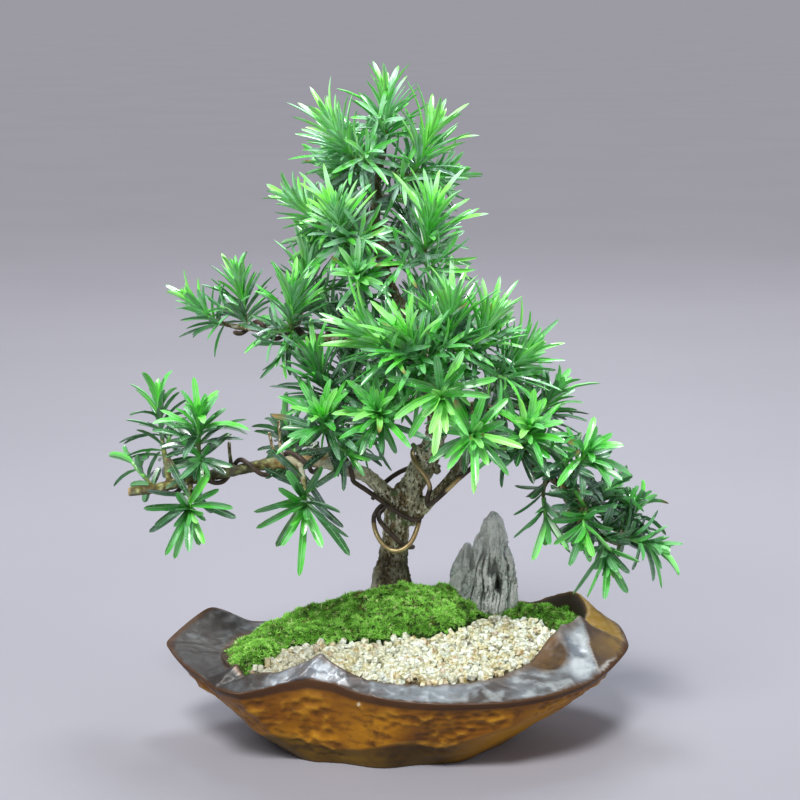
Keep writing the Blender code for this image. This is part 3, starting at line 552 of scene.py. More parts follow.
def rimColumns():
    # the rim's rows with a few more between each two, a little rounded but still folded
    rows = [np.array(row, float) for row in pot["rim"]]
    turn = np.array((360, 0, 0, 0, 0, 0), float)
    looped = [rows[-1] - turn, *rows, rows[0] + turn, rows[1] + turn]
    for before, start, end, after in zip(looped, looped[1:], looped[2:], looped[3:]):
        for step in range(pot["columns"]):
            share = step / pot["columns"]
            straight = mixed(start, end, share)
            row = mixed(straight, curveBetween(before, start, end, after, share), pot["rimSmoothness"])
            row[0] = straight[0]
            yield start, end, share, row


def footRadius(angle, shoulder):
    turn = math.radians(angle)
    oval = 1 / math.hypot(math.cos(turn) / pot["foot"][0], math.sin(turn) / pot["foot"][1])
    count, first, tall = pot["footWaves"]
    return min(oval * (1 + tall * math.cos(count * turn + first)), shoulder - 12)


def bodyPoint(row, share, bulge, wave):
    # a point of the carved body, at a share of the way from its crease to the shoulder
    angle, shoulder, shoulderZ, crease = row[0], row[1], row[2], row[5]
    height = mixed(crease, shoulderZ, share)
    facet = sum(math.sin(math.radians(angle) * count + first) * tall for count, first, tall in pot["facets"])
    middle, wide, most = pot["swell"]
    bulge += most * max(0, 1 - ((angle - middle) / wide) ** 2) * (1 - share)
    radius = mixed(footRadius(angle, shoulder), shoulder, height / shoulderZ)
    return around(radius + bulge + facet * wave, angle, height)


def potColumn(lastTurn, nextTurn, between, row):
    # points down one column of the pot, each with its level:
    # foot 0, crease 1, belly 2, shoulder 3, ridge 4, inside 5, floor 6
    angle, shoulder, shoulderZ, ridge, ridgeZ = row[:5]
    foot = around(footRadius(angle, shoulder), angle, 0)
    out = around(1, angle, 0)
    crease, belly = (
        bodyPoint(lastTurn, share, bulge, wave).lerp(bodyPoint(nextTurn, share, bulge, wave), between)
        for share, bulge, wave in ((0, pot["creaseBulge"], 1), (0.5, pot["bellyBulge"], -0.7))
    )
    edge, top = around(shoulder, angle, shoulderZ), around(ridge, angle, ridgeZ)
    under = edge + (belly - edge).normalized() * 3.4 + out * 0.3
    column = [(-0.1, foot - out * 1.2)]
    for start, end, level, rise, shares in (
        (foot, crease, 0, 1, (0, 0.06, 0.35, 0.65, 0.93)), (crease, belly, 1, 1, (0, 0.08, 0.36, 0.68)),
        (belly, under, 2, 1, (0, 0.33, 0.66)), (under, edge, 2.9, 0.1, (0, 0.5)),
        (edge, top, 3, 1, (0, 0.1, 0.3, 0.5, 0.7, 0.9)),
    ):
        column.extend((level + share * rise, start.lerp(end, share)) for share in shares)
    inside = around(ridge - pot["ridgeWidth"], angle, ridgeZ - 1.5)
    inner = around(ridge - pot["ridgeWidth"] - 2, angle, min(43, ridgeZ - 3))
    column += [(4, top), (4.3, inside), (4.6, inner), (5, around(inner.xy.length - 14, angle, 26)),
               (6, around(foot.xy.length - pot["wallFootInset"], angle, pot["floor"]))]
    return column


def makePot():
    columns = [potColumn(*place) for place in rimColumns()]
    levels = [level for level, _ in columns[0]]
    rings = [[column[number][1] for column in columns] for number in range(len(levels))]
    bowl = extrudeRings("potBowl", rings, levels)
    subdivide(bowl, 2)
    levels = attributeValues(bowl, "level")
    silver, wing, dents = [], [], []

    def hammered(point, normal, index):
        level = levels[index]
        angle = math.degrees(math.atan2(point.y, point.x))
        lip = band(level + noise.noise(point / 3) * 0.05, *pot["lipBand"])
        body = band(level, *pot["bodyBand"])
        start, end, last = pot["wing"]
        edge = angle - mixed(start, end, level - 3) + noise.noise(point / 7) * 0.8
        brown = smoothStep(edge, -0.5, 1.2) * (1 - smoothStep(angle, last - 8, last + 8))
        silver.append(lip * (1 - brown))
        wing.append(lip * brown)
        size, depth = pot["lipDent"] if lip > 0 else pot["bodyDent"]
        squeezed = point if lip > 0 else Vector((point.x, point.y, point.z * 1.7))
        nearest = noise.voronoi((squeezed + noise.noise_vector(point / 6) * 2) / size)[0][0]
        dent = 0.45 - min(1.1, nearest * 1.2) ** 2
        zone = smoothStep(noise.noise(point / 22 + Vector((3, 7, 1))), -0.3, 0.15)
        dents.append(dent * (lip + body * zone))
        height = -dent * depth * (lip + body * zone * 0.7) + noise.noise(point / 15) * 0.8 * max(lip, body)
        for atShoulder, atRidge, tall, wide in pot["folds"]:
            away = (angle - mixed(atShoulder, atRidge, level - 3) + 180) % 360 - 180
            off = abs(math.radians(away)) * point.xy.length
            height += lip * tall * max(0, 1 - off / wide)
        return height

    carve(bowl, hammered)
    for name, values in (("silver", silver), ("wing", wing), ("dent", dents)):
        floatAttribute(bowl, name, values)
    smoothShading(bowl, 50)
    return bowl


def bodyGlaze(finish, level, dent, x):
    # ochre with scorched patches, painted shade in the dents and painted highlight on their rims, olive below
    # the crease darkened as painted shade, a painted highlight along the crease and a painted shadow under
    # the rim
    body = finish.patches(pot["ochre"], pot["rust"], 24, 0.36, 0.62)
    body = finish.patches(body, pot["scorch"], 110, 0.52, 0.72, 4, finish.stretched(1, 1, 1.9))
    # painted shade in the dents and painted highlight on their rims
    body = finish.fade(body, pot["dentFloorShade"], dent, 0.1, 0.42, 0.8)
    body = finish.fade(body, pot["dentRimHighlight"], dent, -0.05, -0.5, 0.5)
    # the olive foot, darkened as painted shade
    shadedOlive = finish.patches(pot["shadedOlive"], pot["shadedOliveDark"], 40, 0.35, 0.65)
    # painted warm bounce light on the foot at the right
    shadedOlive = finish.fade(shadedOlive, pot["amberBounceLight"], x, 30 * mm, 60 * mm, 0.95)
    body = finish.fade(body, shadedOlive, level, 1.02, 0.9, 0.88)
    # a painted highlight along the crease
    crease = finish.times(finish.spread(finish.awayFrom(level, 1.02), 0.09, 0.01), finish.mask(30, 0.42, 0.6))
    body = finish.blend(finish.times(crease, 0.5), body, pot["creaseHighlight"])
    # painted shadow under the rim, darkest just below its edge
    body = finish.fade(body, pot["underRimShadow"], level, 1.9, 2.8, 0.5)
    body = finish.fade(body, pot["rimEdgeShadow"], level, 2.78, 2.9, 0.9)
    return finish.fade(body, pot["inside"], level, 4.02, 4.25)


def lipGlaze(finish, level, dent, x, facet):
    # pewter and silver, with painted highlight and shade in the dents, painted shade on the left wing,
    # painted light at the right and a painted highlight on the bright facet
    lip = finish.patches(pot["pewter"], pot["silver"], 38, 0.40, 0.60)
    # painted highlight on the dent rims and painted shade in the dents
    lip = finish.fade(lip, pot["lipDentHighlight"], dent, -0.1, -0.6, 0.35)
    lip = finish.fade(lip, pot["lipDentShade"], dent, 0.2, 0.45, 0.45)
    # painted shade on the left wing
    lip = finish.fade(lip, pot["leftWingShade"], x, -60 * mm, -88 * mm, 0.92)
    # the facet at the right, painted as a bright highlight
    block = finish.patches(pot["blockHighlightDark"], pot["blockHighlightBright"], 95, 0.40, 0.60)
    lip = finish.blend(finish.times(finish.spot(pot["block"], 12, 23), 0.85), lip, block)
    # painted light at the right of the lip
    lit = finish.times(finish.spread(x, 25 * mm, 60 * mm, 0, 0.45), finish.mask(75, 0.48, 0.58, 4))
    lip = finish.blend(lit, lip, pot["lit"])
    lip = finish.blend(facet, lip, finish.patches(pot["facetBrown"], pot["facetDark"], 90, 0.40, 0.60))
    lip = finish.fade(lip, pot["ridgeBrown"], level, 3.82, 3.97, 0.6)
    return finish.fade(lip, pot["shoulderBrown"], level, 3.14, 3.05, 0.25)


def wingGlaze(finish):
    wing = finish.patches(pot["wingGold"], pot["wingBrown"], 42, 0.40, 0.60, 4)
    wing = finish.patches(wing, pot["wingFleck"], 130, 0.68, 0.80, 4)
    return finish.blend(finish.times(finish.spot(pot["block"], 22, 44), 0.75), wing, pot["wingShade"])


def glazeFinish():
    finish = Finish("potGlaze", Coat_Weight=0.06, Coat_Roughness=0.25, Specular_IOR_Level=0.25)
    level, dent, silver, wing = (finish.attribute(name) for name in ("level", "dent", "silver", "wing"))
    x, _, _ = finish.apart(finish.place)
    facet = finish.spot(pot["innerFacet"], 11, 17)
    lip = lipGlaze(finish, level, dent, x, facet)
    colour = finish.blend(silver, bodyGlaze(finish, level, dent, x), lip)
    colour = finish.blend(wing, colour, wingGlaze(finish))
    seam = finish.times(finish.spread(wing, 0.05, 0.5), finish.spread(wing, 0.95, 0.5))
    # a dark seam line, with a painted highlight on it near the bright facet
    seamLineAndHighlight = finish.blend(finish.spot(pot["block"], 15, 24), pot["seamDark"], pot["seamHighlight"])
    colour = finish.blend(finish.times(seam, 0.55), colour, seamLineAndHighlight)
    flake = finish.times(finish.spot(pot["chip"], 1.7, 2.4), finish.mask(600, 0.35, 0.5, 2))
    finish.colour(finish.blend(flake, colour, pot["chipBuff"]))
    finish.metal(finish.times(silver, finish.spread(facet, 0, 1, 0.5, 0)))
    rough = finish.spread(finish.mask(70, 0.35, 0.7), 0, 1, 0.40, 0.58)
    finish.rough(finish.spread(facet, 0, 1, rough, 0.65))
    finish.skin(210, 0.35, 0.5, 0.6)
    return finish.material


bowl = handOver(makePot(), "potBowl", glazeFinish(), "glaze", "pot")
print("pot made:", len(bowl.data.polygons), "faces")


# Ground: which of moss and gravel lies on top at each place in the pot, and how high

ground = {
    "corner": (-112, -76), "farCorner": (132, 100), "pitch": 1.5,  # the area surveyed, and its grid
    "reach": 9,  # each kind of ground is carried on this far beyond its solid
    "wallInset": 0.6, "wallRise": 0.75, "lowest": 46.4,  # how near the wall it comes, and its rise from there
    "ragged": 2.6, "bank": (3.6, 8),  # how ragged the border is, and drop and width of the moss along it
}
standing = [nodeTree("stone"), nodeTree("trunk_and_branches")]


def rimAt(x, y):
    # radius and height of the ridge in the direction of a point
    angle = math.degrees(math.atan2(y, x))
    rows = pot["rim"] + [(180, *pot["rim"][0][1:])]
    angles = [row[0] for row in rows]
    return (float(np.interp(angle, angles, [row[column] for row in rows])) for column in (3, 4))


def surveyGround():
    (left, front), (right, back) = ground["corner"], ground["farCorner"]
    survey = {}
    for kind in ("moss", "gravel"):
        tree, rows = nodeTree(kind), []
        for x in np.arange(left, right, ground["pitch"]):
            for y in np.arange(front, back, ground["pitch"]):
                hit, normal = straightDown(tree, x, y)
                if hit and normal.z > 0.25:
                    rows.append((x, y, hit.z / mm))
        survey[kind] = pointFinder([(x, y, 0) for x, y, _ in rows]), rows
    return survey


groundSurvey = surveyGround()


def groundAt(x, y):
    # the kind of ground at a place, its height there, and how much farther off the other kind is
    ridge, ridgeZ = rimAt(x, y)
    inset = ridge - ground["wallInset"] - math.hypot(x, y)
    if inset < 0:
        return None, 0, 0
    shift = noise.noise_vector(Vector((x, y, 0)) / 5) * ground["ragged"]
    shifted = (x + shift.x, y + shift.y, 0)
    away = {kind: finder.find(shifted)[2] for kind, (finder, _) in groundSurvey.items()}
    kind = min(away, key=away.get)
    if away[kind] > ground["reach"]:
        return None, 0, 0
    finder, rows = groundSurvey[kind]
    near = [rows[index][2] for _, index, _ in finder.find_n((x, y, 0), 3)]
    wall = max(ridgeZ - 0.6, ground["lowest"]) + ground["wallRise"] * inset
    return kind, min(sum(near) / len(near), wall), max(away.values()) - away[kind]


def insideStanding(point):
    for tree in standing:
        place, normal, _, _ = tree.find_nearest(point)
        if (point - place).dot(normal) < 0:
            return True
    return False


def groundSheet(name, kind, pitch, sink, thickness):
    # a grid laid over one kind of ground, cut to its border and given a thickness
    (left, front), (right, back) = ground["corner"], ground["farCorner"]
    columns, rows = round((right - left) / pitch), round((back - front) / pitch)
    bpy.ops.object.select_all(action="DESELECT")
    bpy.ops.mesh.primitive_grid_add(x_subdivisions=columns, y_subdivisions=rows, size=1)
    sheet = bpy.context.object
    bpy.ops.object.mode_set(mode="EDIT")
    work = bmesh.from_edit_mesh(sheet.data)
    drop, width = ground["bank"]
    for vertex in work.verts:
        x, y = mixed(left, right, vertex.co.x + 0.5), mixed(front, back, vertex.co.y + 0.5)
        found, height, away = groundAt(x, y)
        if kind == "moss":
            height -= drop * (1 - smoothStep(away, 0, width))
        vertex.co = Vector((x, y, height - sink)) * mm
        vertex.select_set(found != kind)
    work.select_flush(True)
    bmesh.update_edit_mesh(sheet.data)
    bpy.ops.mesh.delete(type="VERT")
    bpy.ops.mesh.select_all(action="SELECT")
    bpy.ops.mesh.vertices_smooth(factor=0.5, repeat=2)
    bpy.ops.mesh.extrude_region_move()
    bpy.ops.transform.translate(value=(0, 0, -thickness * mm))
    bpy.ops.mesh.select_all(action="SELECT")
    bpy.ops.mesh.normals_make_consistent(inside=False)
    bpy.ops.object.mode_set(mode="OBJECT")
    sheet.name = name
    return sheet


# Moss: a cushioned carpet with thousands of small star-shaped sprigs

moss = {
    "pitch": 1.5, "sink": 1.6, "thickness": 5,
    # cushions: x, y, radius, height and how bright each one is
    "cushions": [
        (12, 16, 25, 4.8, 0.9), (38, 20, 14, 4.2, 0.9), (-9, 8, 12, 3.4, 0.95), (-70, -20, 13, 4.4, 1),
        (-47, 2, 15, 3.4, 0.8), (-28, -3, 12, 4.2, 0.85), (-62, 12, 14, 2.6, 0.3), (28, 62, 15, 3.4, 0.75),
        (88, 42, 18, 2.5, 0.5), (104, 30, 12, 2, 0.4), (-20, 45, 22, 2, 0.35), (60, 72, 14, 2, 0.4),
        (0, 66, 18, 2, 0.5), (-50, 40, 16, 2, 0.3),
    ],
    "clump": 8.5, "clumpRise": 2.3,
    "lumps": [(10, 1.6), (4.6, 1.0), (2.4, 0.9)],  # width and height of the carpet's bumps
    "overSoil": 0.5,
    "spacing": 1.5, "blades": 8, "bladeWidth": 0.5, "bladeLength": 2.6, "lean": 52, "shapes": 4,
    "frontTo": 22,  # sprigs in front of this y are one piece, those behind it another
    # colours of the blade tips by tone, of the brown ones and of the pale ones that are partly painted
    # highlight, and of the blades' base
    "tips": [(0, (0.055, 0.105, 0.018)), (0.3, (0.13, 0.33, 0.045)), (0.6, (0.175, 0.49, 0.048)),
             (1, (0.36, 0.78, 0.13))],
    "tipBrown": (0.16, 0.10, 0.035), "tipPaleHighlight": (0.66, 0.80, 0.34), "base": (0.018, 0.058, 0.008),
    "bedGreen": (0.045, 0.12, 0.018), "bedDark": (0.016, 0.026, 0.008), "bedBrown": (0.06, 0.04, 0.02),
}


def cushionAt(x, y):
    # how high and how bright the cushions make a place
    height, bright, weight = 0.0, 0.2, 0.35
    for middleX, middleY, radius, lift, tone in moss["cushions"]:
        inner = max(0.0, 1 - ((x - middleX) ** 2 + (y - middleY) ** 2) / radius**2)
        height = max(height, lift * inner)
        bright += tone * inner
        weight += inner
    return height, bright / weight


def clumpAt(point):
    # 1 on top of a clump and 0 in the crease between two
    near = noise.voronoi((point + noise.noise_vector(point / 6) * 2.6) / moss["clump"])[0]
    return smoothStep(near[1] - near[0], 0, 0.55)


def mossSprig(name, seed):
    # a tuft of thin three-sided blades, the last of them nearly upright
    draw = random.Random(seed)
    blades = []
    last = moss["blades"] - 1
    for number in range(moss["blades"]):
        turn = math.tau * number / last + draw.uniform(-0.3, 0.3)
        lean = math.radians(6 if number == last else moss["lean"] * draw.uniform(0.6, 1.3))
        way = Vector((math.cos(turn) * math.sin(lean), math.sin(turn) * math.sin(lean), math.cos(lean)))
        length = moss["bladeLength"] * draw.uniform(0.75, 1.15) * mm
        bpy.ops.mesh.primitive_cone_add(
            vertices=3, radius1=moss["bladeWidth"] * mm, radius2=0, depth=length,
            location=way * length / 2, rotation=way.to_track_quat("Z", "Y").to_euler(),
        )
        blades.append(bpy.context.object)
    sprig = joinAll(blades, name)
    bpy.ops.object.transform_apply(location=True, rotation=True, scale=True)
    heights = [vertex.co.z for vertex in sprig.data.vertices]
    floatAttribute(sprig, "level", [max(0, height / max(heights)) for height in heights])
    return sprig


def mossCarpet():
    carpet = groundSheet("mossCarpet", "moss", moss["pitch"], moss["sink"], moss["thickness"])
    soilTree = nodeTree("soil")

    def cushions(point, normal, index):
        # cushions and lumps, lower towards the border, and nowhere below the soil
        if normal.z < 0.1:
            return 0
        x, y = point.xy
        edge = smoothStep(groundAt(x, y)[2], 0, 9)
        lumps = bumps(point, *moss["lumps"]) + (clumpAt(point) - 0.4) * moss["clumpRise"]
        rise = (cushionAt(x, y)[0] * edge + max(lumps, -0.6) + 0.35 * edge) * normal.z
        soilTop, _ = straightDown(soilTree, x, y)
        return max(rise, soilTop.z / mm + moss["overSoil"] - point.z) if soilTop else rise

    carve(carpet, cushions)
    smoothShading(carpet, 60)
    return carpet


def mossSprigs(name, carpet, low, high, seed):
    # sprigs over every face of the carpet that lies open, also down its banks
    draw = random.Random(seed)
    models = [mossSprig(name + str(number), seed + number) for number in range(moss["shapes"])]
    placings, tones = [], []
    for face in carpet.data.polygons:
        if not low * mm <= face.center.y < high * mm or face.normal.z < 0.05:
            continue
        corners = [carpet.data.vertices[index].co for index in face.vertices]
        for _ in range(int(face.area / (moss["spacing"] * mm) ** 2 + draw.random())):
            across, along, turn = draw.random(), draw.random(), draw.uniform(0, math.tau)
            size, which, tone = draw.uniform(0.7, 1.2), draw.randrange(moss["shapes"]), draw.random()
            tilt = Vector((draw.uniform(-0.3, 0.3), draw.uniform(-0.3, 0.3), 0.2))
            spot = corners[0].lerp(corners[1], across).lerp(corners[-1].lerp(corners[-2], across), along)
            if insideStanding(spot):
                continue
            up = (face.normal + tilt).normalized()
            spin = up.to_track_quat("Z", "Y").to_matrix() @ Matrix.Rotation(turn, 3, "Z")
            place = spot / mm
            clump = bumps(place, (4.6, 0.5), (2.2, 0.5)) + (clumpAt(place) - 0.5) * 0.75
            matrix = (spin * (size * (1 + 0.4 * clump))).to_4x4()
            matrix.translation = spot - face.normal * 0.3 * mm
            placings.append((which, matrix))
            # the tone is lower for sprigs in the creases between clumps: painted shade
            bright = cushionAt(place.x, place.y)[1] + bumps(place, (13, 0.2))
            tones.append(min(1, max(0, bright + 0.12 + (tone - 0.5) * 0.45 + clump * 0.75)))
    return stamp(name, models, placings, tones)


def mossFinish():
    finish = Finish("mossGreen", Roughness=0.75, Specular_IOR_Level=0.2)
    tone, level = finish.attribute("tone"), finish.attribute("level")
    dull = finish.spread(tone, 0.75, 0.3)
    tips = finish.blend(finish.times(finish.mask(170, 0.57, 0.65, 4), dull), finish.ramp(tone, moss["tips"]),
                        moss["tipBrown"])
    # pale flecks on the tips, partly painted highlight
    tips = finish.patches(tips, moss["tipPaleHighlight"], 360, 0.60, 0.68, 2)
    finish.colour(finish.fade(moss["base"], tips, level, 0.0, 0.62))
    return finish.material


def mossBedFinish():
    finish = Finish("mossBed", Roughness=0.95, Specular_IOR_Level=0.15)
    bed = finish.patches(moss["bedGreen"], moss["bedDark"], 300, 0.4, 0.6, 4)
    finish.colour(finish.patches(bed, moss["bedBrown"], 90, 0.6, 0.75))
    finish.skin(700, 0.6, 0.8, 0.8)
    return finish.material


carpet = mossCarpet()
sprigFinish = mossFinish()
frontSprigs = mossSprigs("mossFront", carpet, ground["corner"][1], moss["frontTo"], 31)
backSprigs = mossSprigs("mossBack", carpet, moss["frontTo"], ground["farCorner"][1], 57)
handOver(carpet, "mossCarpet", mossBedFinish(), "moss", "moss")
handOver(frontSprigs, "mossFront", sprigFinish, "moss")
handOver(backSprigs, "mossBack", sprigFinish, "moss")
print("moss made:", len(frontSprigs.data.polygons), "and", len(backSprigs.data.polygons), "blade faces")


# Gravel: crushed quartz, two layers of grains on a sandy bed

gravel = {
    "pitch": 1.6, "sink": 1.8, "thickness": 4,
    "spacing": 3.55, "size": 2.75, "shapes": 10, "loose": 0.55,  # the last is how full the upper layer is
    # colours of the grains by tone: mostly whitish, some yellow, a few brown and one in thirty nearly black
    "tones": [
        (0, (0.66, 0.74, 0.62)), (0.22, (0.63, 0.65, 0.42)), (0.42, (0.82, 0.90, 0.82)),
        (0.58, (0.60, 0.53, 0.22)), (0.72, (0.46, 0.32, 0.06)), (0.79, (0.74, 0.78, 0.62)),
        (0.87, (0.36, 0.19, 0.03)), (0.91, (0.26, 0.28, 0.21)), (0.94, (0.075, 0.06, 0.035)),
        (0.98, (0.42, 0.28, 0.18)),
    ],
    "stain": (0.44, 0.36, 0.11), "veilPale": (0.80, 0.82, 0.70), "veilDark": (0.13, 0.12, 0.06),
    "shade": (0.24, 0.21, 0.12), "sandInShade": (0.17, 0.13, 0.055), "sandDeepShade": (0.04, 0.03, 0.016),
}


def grain(name, seed):
    # a cube, cut once, rounded and knocked about
    draw = random.Random(seed)
    bpy.ops.object.select_all(action="DESELECT")
    bpy.ops.mesh.primitive_cube_add(size=2 * gravel["size"] * mm)
    bpy.ops.object.mode_set(mode="EDIT")
    bpy.ops.mesh.subdivide(number_cuts=1)
    bpy.ops.object.mode_set(mode="OBJECT")
    piece = bpy.context.object
    piece.name = name
    squeeze = Vector((1, draw.uniform(0.6, 0.95), draw.uniform(0.5, 0.8)))
    for vertex in piece.data.vertices:
        ball = vertex.co.normalized() * gravel["size"] * mm
        vertex.co = vertex.co.lerp(ball, 0.6) * draw.uniform(0.74, 1.16) * squeeze
    floatAttribute(piece, "level", [0.5] * len(piece.data.vertices))
    return piece


def gravelGrains(name, bed):
    # grains in rows, every other row shifted by half a pitch, and a looser layer on top
    draw = random.Random(43)
    cover = meshTree(bed.data)
    models = [grain(name + str(number), 70 + number) for number in range(gravel["shapes"])]
    placings, tones = [], []
    (left, front), (right, back) = ground["corner"], ground["farCorner"]
    pitch = gravel["spacing"]
    for layer in range(2):
        for row, y in enumerate(np.arange(front, back, pitch * 0.87)):
            for x in np.arange(left + (row % 2) * pitch / 2, right, pitch):
                offX, offY = draw.uniform(-0.45, 0.45) * pitch, draw.uniform(-0.45, 0.45) * pitch
                turns = [draw.uniform(0, math.tau) for _ in range(3)]
                which, size = draw.randrange(len(models)), draw.uniform(0.6, 1.2)
                tone, skip = draw.random(), draw.random()
                lift = draw.uniform(0.0, 0.9) if layer == 0 else draw.uniform(1.2, 2.4)
                if layer and skip > gravel["loose"]:
                    continue
                spot, normal = straightDown(cover, x + offX, y + offY)
                if spot is None or normal.z < 0.3 or insideStanding(spot):
                    continue
                turn = Matrix.Rotation(turns[0], 3, "X") @ Matrix.Rotation(turns[1], 3, "Y")
                matrix = (turn @ Matrix.Rotation(turns[2], 3, "Z") * size).to_4x4()
                matrix.translation = spot + Vector((0, 0, lift * mm))
                placings.append((which, matrix))
                tones.append(tone)
    return stamp(name, models, placings, tones)


def gravelFinish():
    finish = Finish("quartzGravel", Specular_IOR_Level=0.5)
    colour = finish.ramp(finish.attribute("tone"), gravel["tones"], steps=True)
    colour = finish.patches(colour, gravel["stain"], 330, 0.51, 0.67)
    veil = finish.patches(gravel["veilPale"], gravel["veilDark"], 560, 0.40, 0.62, 2)
    colour = finish.blend(0.5, colour, veil)
    x, _, _ = finish.apart(finish.place)
    finish.colour(finish.fade(colour, gravel["shade"], x, -10 * mm, -55 * mm, 0.5))
    finish.rough(finish.spread(finish.mask(500, 0.4, 0.6), 0, 1, 0.28, 0.6))
    finish.skin(1200, 0.5, 0.3, 0.15)
    return finish.material


def sandFinish():
    finish = Finish("sandBed", Roughness=0.9)
    # the sandy bed is coloured dark as painted shade in the gaps between the grains
    finish.colour(finish.patches(gravel["sandInShade"], gravel["sandDeepShade"], 500, 0.4, 0.6, 4))
    finish.skin(800, 0.5, 0.8, 0.6)
    return finish.material


sandBed = groundSheet("gravelBed", "gravel", gravel["pitch"], gravel["sink"], gravel["thickness"])
grains = gravelGrains("gravelGrains", sandBed)
handOver(sandBed, "gravelBed", sandFinish(), "gravel", "gravel")
handOver(grains, "gravelGrains", gravelFinish(), "gravel")
print("gravel made:", len(grains.data.polygons), "faces")


# Soil: the CAD solid stays, hidden under moss and gravel

soil = {"brown": (0.035, 0.022, 0.013), "crumbs": (0.09, 0.06, 0.035)}


def soilFinish():
    finish = Finish("potSoil", Roughness=0.95)
    finish.colour(finish.patches(soil["brown"], soil["crumbs"], 300, 0.4, 0.7, 4))
    finish.skin(500, 0.6, 0.8, 0.8)
    return finish.material


nodes["soil"].data.materials.clear()
nodes["soil"].data.materials.append(soilFinish())
print("soil finished")


# Standing stone: the CAD rock, remeshed finely, with upright furrows, crumbly skin and one deep pit

stone = {
    "voxel": 0.55, "rounds": 8, "crumb": 0.75, "swell": 0.95,
    "foot": 50, "tall": 62, "middle": (63, 66),  # height of its foot, its own height, and x at foot and top
    # furrows: pitch across, length and depth of each kind; they draw together towards the top
    "furrows": [(6.0, 44, 2.2), (2.7, 22, 1.2)],
    "pit": (64.6, 44.5, 75.5), "pitSize": (2.9, 6, 6.4), "pitDepth": 3.4,
    "cleft": (48.6, 47, 90), "cleftSize": (1.7, 8, 8), "cleftDepth": 3,
    "pale": (0.90, 1.0, 0.94), "mid": (0.50, 0.60, 0.54), "white": (1.0, 1.0, 1.0),
    "streak": (0.12, 0.135, 0.11), "speck": (0.20, 0.22, 0.19), "ridge": (0.98, 1.0, 0.98),
    "grooveShade": (0.070, 0.080, 0.066), "pitShade": (0.035, 0.036, 0.031), "shard": (0.12, 0.15, 0.13),
    "peak": (0.98, 1.0, 0.99), "darkerLow": (0.12, 0.12, 0.075),
}


def copyOfNode(name):
    # a merged copy of a CAD node, to be worked up in its place
    copy = nodes[name].copy()
    copy.data = nodes[name].data.copy()
    copy.parent = None
    for key in list(copy.keys()):
        del copy[key]
    bpy.context.collection.objects.link(copy)
    choose(copy)
    bpy.ops.object.mode_set(mode="EDIT")
    bpy.ops.mesh.select_all(action="SELECT")
    bpy.ops.mesh.remove_doubles(threshold=0.00001)
    bpy.ops.object.mode_set(mode="OBJECT")
    return copy


def hollow(point, place, size, depth):
    offset = point - Vector(place)
    reach = math.sqrt(sum((offset[axis] / size[axis]) ** 2 for axis in range(3)))
    return -depth * (1 - smoothStep(reach, 0.35, 1.1))


def makeStone():
    rock = copyOfNode("stone")
    fuse(rock, stone["voxel"], stone["rounds"])

    def furrows(point, normal, index):
        up = (point.z - stone["foot"]) / stone["tall"]
        across = (point.x - mixed(*stone["middle"], up)) / mixed(1, 0.62, up) + noise.noise(point / 11) * 2.2
        side = max(0.3, abs(normal.y))
        height = stone["swell"] + noise.noise(point / 7) * 0.9
        for pitch, length, deep in stone["furrows"]:
            line = abs(noise.noise(Vector((across / pitch, point.y / 9, point.z / length + pitch))))
            height -= (1 - smoothStep(line, 0.0, 0.24)) * deep * side
        height += bumps(point, (2.6, 0.7), (1.1, 0.45)) * stone["crumb"]
        height += hollow(point, stone["pit"], stone["pitSize"], stone["pitDepth"])
        return height + hollow(point, stone["cleft"], stone["cleftSize"], stone["cleftDepth"])

    carve(rock, furrows, "relief")
    smoothShading(rock)
    return rock


def stoneFinish():
    finish = Finish("weatheredStone", Roughness=0.9, Specular_IOR_Level=0.25)
    relief = finish.attribute("relief")
    x, _, z = finish.apart(finish.place)
    grey = finish.patches(stone["pale"], stone["mid"], 220, 0.40, 0.60, 5, finish.stretched(1, 1, 0.3))
    grey = finish.patches(grey, stone["white"], 560, 0.52, 0.60, 5, finish.stretched(1, 1, 0.4))
    grey = finish.patches(grey, stone["streak"], 480, 0.56, 0.62, 4, finish.stretched(1, 1, 0.28))
    grey = finish.patches(grey, stone["speck"], 900, 0.55, 0.64)
    # paler on the ridges, partly painted highlight
    grey = finish.fade(grey, stone["ridge"], relief, 0.3, 1.2, 0.7)
    # painted shade in the furrows, darkest in the pit
    grey = finish.fade(grey, stone["grooveShade"], relief, 0.2, -1.3, 0.88)
    grey = finish.fade(grey, stone["pitShade"], relief, -2.4, -3.8)
    grey = finish.fade(grey, stone["shard"], x, 58 * mm, 46 * mm, 0.55)
    grey = finish.fade(grey, stone["peak"], z, 80 * mm, 106 * mm, 0.5)
    # darker towards its foot
    finish.colour(finish.fade(grey, stone["darkerLow"], z, 66 * mm, 54 * mm, 0.45))
    finish.skin(650, 0.6, 0.9, 0.9)
    return finish.material


rock = handOver(makeStone(), "standingStone", stoneFinish(), "stone", "stone")
print("stone made:", len(rock.data.polygons), "faces")


# Wood: the limbs and twigs as rods, fused by a remesh, with bark carved along them

